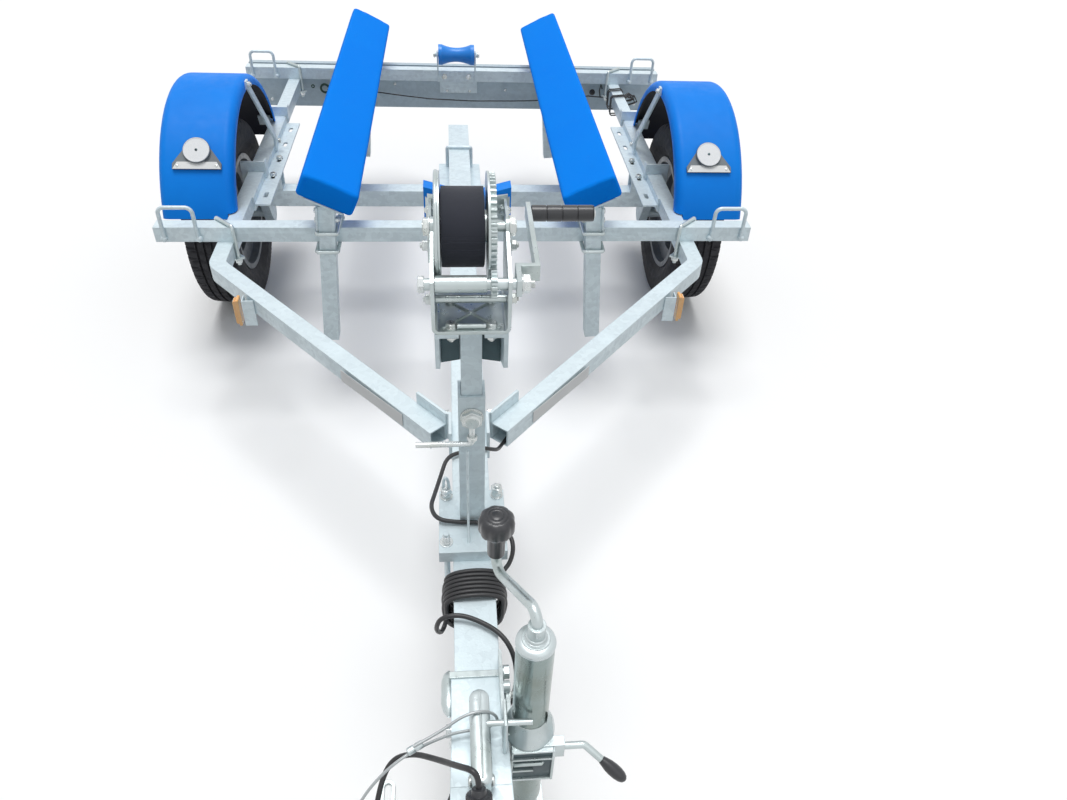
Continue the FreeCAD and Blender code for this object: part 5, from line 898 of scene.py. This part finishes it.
# ---- tyres and wheels ----
def tread_profile():
    """Half-open outline of a tyre's section: (x, radius, how far it may sink in the tread's pattern)."""
    wall = [
        (-52.5, 165.8), (-52.5, 177), (-56, 181), (-58.5, 187), (-62, 192), (-66.5, 200), (-69.5, 209),
        (-70.3, 210), (-71.8, 222), (-72.4, 232), (-72, 244), (-70.4, 254), (-68.6, 258),
    ]
    shoulder = [(-68.1, 262, 3), (-66.5, 268, 4), (-63, 273, 5), (-58, 276.2, 6), (-54, 277.6, 6)]
    side = [(x, radius, 0) for x, radius in wall] + shoulder
    tread = []
    for groove in (-33, -11, 11, 33):
        for dx, depth in ((-9, 0), (-3.2, 0), (-2.2, 6.5), (2.2, 6.5), (3.2, 0)):
            x = groove + dx
            sink = 0 if depth else 5 if abs(x) > 30 else 2.5
            tread.append((x, 280.6 - 2.9 * (x / 54) ** 2 - depth, sink))
    other_side = [(-x, radius, sink) for x, radius, sink in reversed(side)]
    inside = ((41.5, 178), (60, 225), (56, 262), (0, 268), (-56, 262), (-60, 225), (-41.5, 178))
    return side + tread + other_side + [(x, radius, 0) for x, radius in inside]


def spun(piece, loops, smooth):
    """The object made by a section carried once round."""
    piece.rings(loops, caps=False)
    bmesh.ops.remove_doubles(piece.mesh, verts=piece.mesh.verts, dist=1e-6)
    return piece.done(smooth)


def road_wheel(hand, side):
    """A tyre with its tread, and the wheel's bolts, cap and valve."""
    profile, steps, pitch, body = tread_profile(), 432, 8, f"wheel_{hand}"
    loops = []
    for k in range(steps + 1):
        turn = 2 * math.pi * k / steps
        loop = []
        for x, radius, sink in profile:
            # a cut across the ribs at each pitch, staggered from rib to rib
            if (k + int(abs(x) / 9) + 2 * (abs(x) < 30)) % pitch == 0:
                radius -= sink
            # fine ribs on the shoulder of the side wall
            if 244 <= radius < 256 and k % 4 < 2:
                x *= 1.006
            y, z = radius * math.cos(turn), radius * math.sin(turn)
            loop.append(at(side * (WHEEL_X + x), WHEEL_Y + y, WHEEL_Z + z))
        loops.append(loop)
    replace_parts(spun(Pieces(f"tyre_tread_{hand}", TYRE, body), loops, 28), f"tyre_{hand}")
    out = OUTWARD[side]
    studs = Pieces(f"wheel_bolts_{hand}", BOLTS, body)
    for a in (math.radians(45 + 90 * k) for k in range(4)):
        seat = at(side * 750, WHEEL_Y + 50 * math.cos(a), WHEEL_Z + 50 * math.sin(a))
        studs.turned(seat, out, [(0, 11), (4, 9.8)])
        studs.hexagon(along(seat, out, 4), out, 19, 11, 1.2)
    studs.done()
    cap = Pieces(f"hub_cap_{hand}", BOLTS, body)
    dome = [(0, 23), (1.5, 22.5), (3.2, 18), (4, 10), (4.2, 3)]
    cap.turned(at(side * 786, WHEEL_Y, WHEEL_Z), out, dome, 40)
    cap.turned(at(side * 753, WHEEL_Y, WHEEL_Z), out, [(0, 27.5), (3, 27.5), (3.6, 26.6)], 40)
    cap.done()
    valve = Pieces(f"valve_{hand}", BLACK, body)
    valve.turned(at(side * 741, WHEEL_Y, WHEEL_Z + 137), Vector((side, 0, 0.5)), [
        (0, 6), (3, 5.5), (6, 4), (18, 3.4), (19, 4), (27, 4), (28, 3)], 20)
    valve.done()


road_wheel("left", -1)
road_wheel("right", 1)

wheel = Pieces("jockey_tyre", SOLID, "jockey_wheel_body")
profile = [
    (-25, 8.2), (-25, 22), (-23, 24), (-9, 27), (-8, 30), (-8, 58), (-10, 62), (-21, 67), (-24, 69),
    (-25, 74), (-25, 86), (-23, 90), (-18.5, 96.6), (-16, 97.6), (-14, 95.4), (-12, 98), (-4, 99.7),
    (-2, 97.4),
]
profile += [(-x, radius) for x, radius in reversed(profile)]
hub = middle_of("jockey_wheel")
for out in (Vector((0, math.cos(a), math.sin(a))) for a in (math.pi * k / 3 for k in range(6))):
    for x in (-8.16, 8.16):
        wheel.bar([hub + out * 0.024 + mm(x, 0, 0), hub + out * 0.062 + mm(x, 0, 0)], 2.6, 10)
made = spun(wheel, once_round(96, lambda c, s: [hub + mm(x, r * c, r * s) for x, r in profile]), 30)
made.data.materials.append(HUB)
for face in made.data.polygons:
    away = face.center - hub
    if math.hypot(away.y, away.z) < 0.068:
        face.material_index = 1
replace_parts(made, "jockey_wheel")
pins = Pieces("jockey_axle_nuts", BOLTS, "jockey_fork_body")
for side in SIDES:
    pins.hexagon(hub + mm(side * 32.5, 0, 0), OUTWARD[side], 19, 5)
pins.done()

# ---- grips, knob and plug ----
knob, foot = Pieces("jockey_knob_cap", BLACK), middle_of("jockey_knob")
foot.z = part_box("jockey_knob")[0].z
knob.fluted(foot, UP, [
    (8, 10.6, 0), (9, 11.6, 0), (38, 12, 0.6), (44, 12.6, 0.8), (48, 14.5, 1), (52, 20, 1), (54.5, 22.8, 1.2),
    (58, 23.8, 1.3), (70, 23.8, 1.3), (74.5, 22.8, 1.1), (77.5, 20.6, 0.8), (79.6, 17, 0.3), (80.3, 14.6, 0),
    (79.9, 13.6, 0), (80.8, 12.4, 0), (81.4, 9, 0), (80.9, 7.8, 0), (81.6, 6.6, 0), (81.8, 2, 0),
], 9, 108)
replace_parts(knob.done(40), "jockey_knob")

(low, high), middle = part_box("crank_grip"), middle_of("crank_grip")
grip = Pieces("crank_grip_sleeve", BLACK, "crank")
groove = ((-20.5, 11.95), (-1.2, 11.95), (-0.8, 10.9), (0.2, 10.9), (0.6, 11.95))
profile = [(0, 10.6), (0.6, 11.8)]
for end in (22.6 * k for k in range(1, 5)):
    profile += [(end + step, radius) for step, radius in groove]
grip.turned(Vector((low.x, middle.y, middle.z)), RIGHT, profile + [(91.4, 11.8), (92, 10.6)], 40)
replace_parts(grip.done(), "crank_grip")

ends = Pieces("crank_grip_end", BOLTS, "crank")
ends.turned(Vector((high.x + 0.001, middle.y, middle.z)), RIGHT, [
    (0, 9), (1.5, 9), (2, 7.4), (6.6, 6.4), (8, 4)])
ends.done()

aim = Vector((22, -16, -12)).normalized()
toggle = Pieces("toggle_grip_oval", BLACK)
toggle.turned(middle_of("toggle_grip") - aim * 0.021, aim, [
    (0, 4.5), (0.8, 5.6), (5, 6.6), (12, 8.2), (20, 9), (28, 8.9), (35, 7.6), (39.5, 5.4), (41.6, 2.6),
    (42, 0.8)], 28)
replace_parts(toggle.done(), "toggle_grip")

plug_lean = math.radians(35)
plug_axis = Vector((0, math.sin(plug_lean), math.cos(plug_lean)))
base = at(*LEAD_FRONT[-1]) - plug_axis * 0.062
plug = Pieces("plug_body", BLACK)
plug.fluted(base, plug_axis, [
    (0, 20, 0), (0.8, 22, 0), (6, 22.4, 0), (7, 23.8, 0), (11, 23.8, 0), (12, 22.6, 1.6), (34, 22.6, 1.6),
    (37, 21.5, 1.2), (40, 19, 0), (44, 16.6, 0), (46, 16.2, 1.4), (53, 16, 1.4), (54, 14, 0), (54.6, 9.6, 0),
    (61, 8.4, 0), (62, 6.6, 0), (62, 3.9, 0),
], 24, 96)
plug.turned(base, -plug_axis, [(0, 17.5), (0.4, 17), (0.4, 16), (0.1, 15.5)], 40)
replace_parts(plug.done(40), "lead_plug")

# ---- coupling, jockey clamp and small trim ----
ROD_Z = 522                         # the rod across the coupling's ears
coupling = Pieces("coupling_trim", ZINC)
coupling.bar([at(8, -1366, ROD_Z), at(66, -1367, ROD_Z)], 4, 18)
coupling.box((29.5, 34.5), (-1374, -1338), (455, ROD_Z + 7), "x", 1.2)
coupling.box((29.5, 34.5), (-1340, -1234), (455, 480), "x", 1.2)
coupling.box((-40.5, 34), (-1262, -1252), (455, 458.2), "z")
coupling.turned(at(-41, -1238, 436), FRONT, [(0, 2), (6, 7.5), (16, 10.5), (50, 11), (62, 8), (70, 2)], 32)
coupling.hexagon(coupling.washer(at(34.5, -1262, 467), RIGHT, 9, 2), RIGHT, 17, 8)
coupling.turned(at(34.5, -1284, 466), RIGHT, [(0, 8), (9, 8), (10, 6)])
coupling.done()

lever, top = Pieces("lever_cap", ZINC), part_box("coupling_lever")[1].z * 1000
loops = []
for inset, dz in ((-0.4, -8), (-0.4, -1), (0.6, 1.6), (2.6, 3.4), (5.6, 4.4), (8.6, 4.8)):
    loop = []
    for a in (2 * math.pi * k / 48 for k in range(48)):
        end = -1316 if math.sin(a) > 0 else -1418
        loop.append(at((13 - inset) * math.cos(a), end + (13 - inset) * math.sin(a), top + dz))
    loops.append(loop)
lever.rings(loops)
lever.bar([at(1, -1310, top + 4.9), at(1, -1424, top + 4.9)], 0.9, 8)
lever.done()

skirt = Pieces("clamp_skirt", ZINC)
skirt.turned(at(JOCKEY_X, JOCKEY_Y, 449), UP, [
    (0, 24.2), (0, 33), (1, 35), (8, 34), (19, 30), (28, 27), (36, 25.4), (38, 24.2)], 56, hollow=True)
for last, z in ((98, 445.5), (98, 426), (72, 395), (98, 370)):
    skirt.box((43, last), (-1371.5, -1357), (z, z + 3.5), "z", 0.8)
    if last == 98:
        skirt.box((89, last), (-1358, -1330), (z, z + 3.5), "z", 0.8)
skirt.bar([at(45, -1367, 413), at(46, -1369, 413), at(83, -1369, 413), at(84, -1367, 413)], 3)
skirt.box((96, 99.5), (-1372, -1330), (370, 449), "x", 0.8)
skirt.box((41.5, 44), (-1370, -1330), (370, 449), "x", 0.8)
skirt.plate([at(86, -1347, 449), at(99, -1347, 449), at(94, -1347, 500), at(88, -1347, 508)], FRONT, 4)
skirt.done()

# Dark panels on the winch post bracket's front: painted shadow, standing for the inside of a channel in
# shade.
bracket_shade_panels = Pieces("bracket_painted_shadow", SHADE_AND_DARK_ZINC)
for side in SIDES:
    outline = ((16, 863), (42.6, 863), (42.6, 779), (16, 784))
    bracket_shade_panels.plate([at(side * x, -951, z) for x, z in outline], FRONT, 1, 0.3)
bracket_shade_panels.done()

welds = Pieces("loop_welds", STEEL)
bead = [(0, 4), (2, 7), (5, 8.6), (9, 8.8), (12, 7.4), (14, 5), (15, 2)]
for x in (-747, -661, 661, 747):
    for back in CROSSBARS:
        welds.turned(at(x, back + 3, 461), FRONT, bead, 20)
welds.done()

lid = Pieces("jockey_tube_cap", ZINC)
lid.turned(at(JOCKEY_X, JOCKEY_Y, 646), UP, [
    (0, 24.2), (1, 24.8), (5, 24.8), (8, 23.8), (10, 21.4), (11, 18.4), (11.2, 17.4), (12.6, 17),
    (12.8, 8)], 56)
lid.turned(at(JOCKEY_X, JOCKEY_Y, 658), UP, [
    (0, 13.4), (2, 13.4), (2.4, 12), (3.4, 12.8), (4.4, 12), (5.4, 12.8), (6.4, 12), (7, 10)], 40)
lid.done()

# A dark block behind the jockey clamp's plates: painted shade in the gaps between them.
shade = Pieces("clamp_painted_shade", SHADE_AND_DARK_ZINC)
shade.box((43.5, 96.5), (-1368.2, -1357), (371, 447), "z", 2)
shade.box((89, 96.5), (-1358, -1331), (371, 447), "z", 2)
shade.done()

heads = Pieces("coupling_bolts", BOLTS)
for side in SIDES:
    heads.turned(at(side * 13.1, -1415, 472), OUTWARD[side], [(0, 8), (2, 8), (3.4, 6), (4, 2)])
    for y in (-1342, -1372):
        heads.turned(at(side * 37.4, y, 425), OUTWARD[side], [(0, 7.5), (1.5, 7.2), (3.2, 5), (3.8, 2)], 20)
heads.done()

ferrule = Pieces("cable_ferrule", ZINC)
ferrule.turned(at(-74, -1363.5, 476.4), Vector((-32, -15, -6)), [
    (0, 3.6), (1, 5.2), (9, 5.4), (11, 4.6), (13, 5.4), (21, 5.2), (22, 3.6)], 20)
ferrule.done()

# ---- lamps and light board ----
low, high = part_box("rear_lamps")
face_y, low_z, high_z = (low.y - BAR) * 1000, low.z * 1000, high.z * 1000
housing = Pieces("lamp_housings", LAMP_BODY)
LAMPS = (("red", RED, 62, 142), ("amber", AMBER, 146, 214), ("clear", CLEAR, 6, 58))
lamps = [Pieces(f"lamp_{name}", glass) for name, glass, first, last in LAMPS]
for side in SIDES:
    inner = high.x * 1000 - 220
    housing.box(sorted((side * inner, side * (inner + 220))), (face_y, face_y + 30), (low_z, high_z), "y", 3)
    for lamp, (name, glass, first, last) in zip(lamps, LAMPS):
        x = sorted((side * (inner + first), side * (inner + last)))
        lamp.box(x, (face_y + 29, face_y + 41.8), (low_z + 5, high_z - 5), "y", 4)
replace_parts(housing.done(), "rear_lamps")
for lamp in lamps:
    lamp.done()
low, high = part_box("marker_lenses")
glass = Pieces("marker_glass", MARKER)
for side in SIDES:
    for shrink, x, edge in ((0, high.x - 0.007, 1.2), (0.003, high.x, 2.6)):
        y0, y1, z0, z1 = low.y + shrink, high.y - shrink, low.z + shrink, high.z - shrink
        outline = ((y0, z0), (y1, z0), (y1, z1), (y0, z1))
        glass.plate([Vector((side * x, y, z)) for y, z in outline], OUTWARD[side], 7, edge)
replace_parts(glass.done(), "marker_lenses")

panel = Pieces("board_panel", STEEL)
panel.box((-64, 78), (1269.6, 1272), (394, 439), "y", 0.6)
panel.done()

rivets = Pieces("board_rivets", BOLTS)
spots = ((-234, 424), (-37, 402), (50, 402), (187, 408), (-640, 400), (640, 400), (-700, 360), (700, 360))
for x, z in spots:
    rivets.turned(at(x, BOARD_Y, z), FRONT, [(0, 5.5), (1.2, 5), (2.6, 3), (3, 1)], 20)
rivets.done()

grommet = Pieces("board_grommet", GROMMET)
grommet.bar(once_round(40, lambda c, s: at(-498 + 15 * c, BOARD_Y - 3, 404 + 15 * s)), 4.2)
grommet.bar(once_round(24, lambda c, s: at(-542 + 5 * c, BOARD_Y - 1.6, 411 + 5 * s)), 2.2, 10)
grommet.done()


def wiring_turn(back, sag):
    """A turn of the wiring round the rail, squared at its corners and loose below."""
    def place(c, s):
        x = 600 + 25 * max(-1, min(1, 1.25 * c)) - (6 if c < -0.5 else 0)
        return at(x, back + 9 * c, 428 + 26 * max(-1, min(1, 1.25 * s)) - (sag if s < -0.5 else 0))

    return once_round(32, place)


loom = Pieces("board_wiring", SHEATH)
run = (
    (-490, 401), (-400, 396), (-300, 393), (-218, 383), (-104, 371), (51, 365), (207, 367), (285, 369),
    (403, 377), (513, 391),
)
run = [at(x, BOARD_Y - 4, z) for x, z in run]
loom.bar(run + [at(561, 1264, 388), at(575, 1240, 396), at(577, 1200, 405)], 2.2, 10)
loom.bar([at(566, 1265, 420), at(560, 1264, 438), at(556, 1266, 412), at(561, 1264, 388)], 2.2, 10)
for x, z in ((528, 406), (585, 396)):
    loom.turned(at(x, BOARD_Y - 1, z), FRONT, [(0, 9), (1, 11), (6, 11), (7, 8), (16, 7), (18, 5)])
for back, sag in ((1150, 15), (1166, 12), (1085, 17), (1097, 14)):
    loom.bar(wiring_turn(back, sag), 2.4, 10)
for k, (y, z) in enumerate(((1190, 404), (1198, 396), (1206, 407), (1214, 399))):
    loop = (
        (628, 0, 0), (650 + 6 * k, 10, 14), (684, 20, 10 - 6 * k), (700 - 7 * k, 30, -16),
        (660, 24, 4 * k - 28), (628, 8, -8),
    )
    loom.bar([at(x, y + dy, z + dz) for x, dy, dz in loop], 3.2, 10)
loom.done()

labels = Pieces("arm_labels", LABEL)
for side in SIDES:
    outline = ((262, -533, 415), (129, -680, 415), (129, -680, 445), (262, -533, 445))
    labels.plate([at(side * x, y, z) for x, y, z in outline], (side * 147, -133, 0), 0.7, 0.3)
labels.done()

# ---- floor, light ----
floor_mesh = bpy.data.meshes.new("floor")
floor_mesh.from_pydata([(-40, -40, 0), (40, -40, 0), (40, 40, 0), (-40, 40, 0)], [], [(0, 1, 2, 3)])
floor = linked("floor", floor_mesh)
floor.location.z = -0.0005
floor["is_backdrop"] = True


def seen_rays(g):
    """1 for camera, glossy and transmission rays, 0 for the light that bounces."""
    path = g.add("LightPath").outputs
    seen = g.sum(path["Is Camera Ray"], path["Is Glossy Ray"], "MAXIMUM")
    return g.sum(seen, path["Is Transmission Ray"], "MAXIMUM")


ground = surface("floor", (0.5, 0.5, 0.5), 0.9)
ground.skin({"Base Color": ground.blend(seen_rays(ground), (0.30, 0.31, 0.32), (0.99, 0.993, 0.995))})
floor_mesh.materials.append(ground.owner)

bpy.context.scene.world = bpy.data.worlds.new("studio")
sky = Graph(bpy.context.scene.world, "Background")
sky.skin({"Color": (0.97, 0.985, 1.0), "Strength": sky.spread(seen_rays(sky), 0, 1, 0.36, 1.0)})


def sun(name, strength, angle, direction):
    data = bpy.data.lights.new(name, "SUN")
    data.energy, data.angle = strength, math.radians(angle)
    linked(name, data).rotation_euler = Vector(direction).to_track_quat("-Z", "Y").to_euler()


sun("key", 2.0, 30, (0.03, -0.10, -1))
sun("fill", 0.25, 60, (-0.4, 0.6, -0.6))

# ---- the scene's bounds ----
low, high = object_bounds()
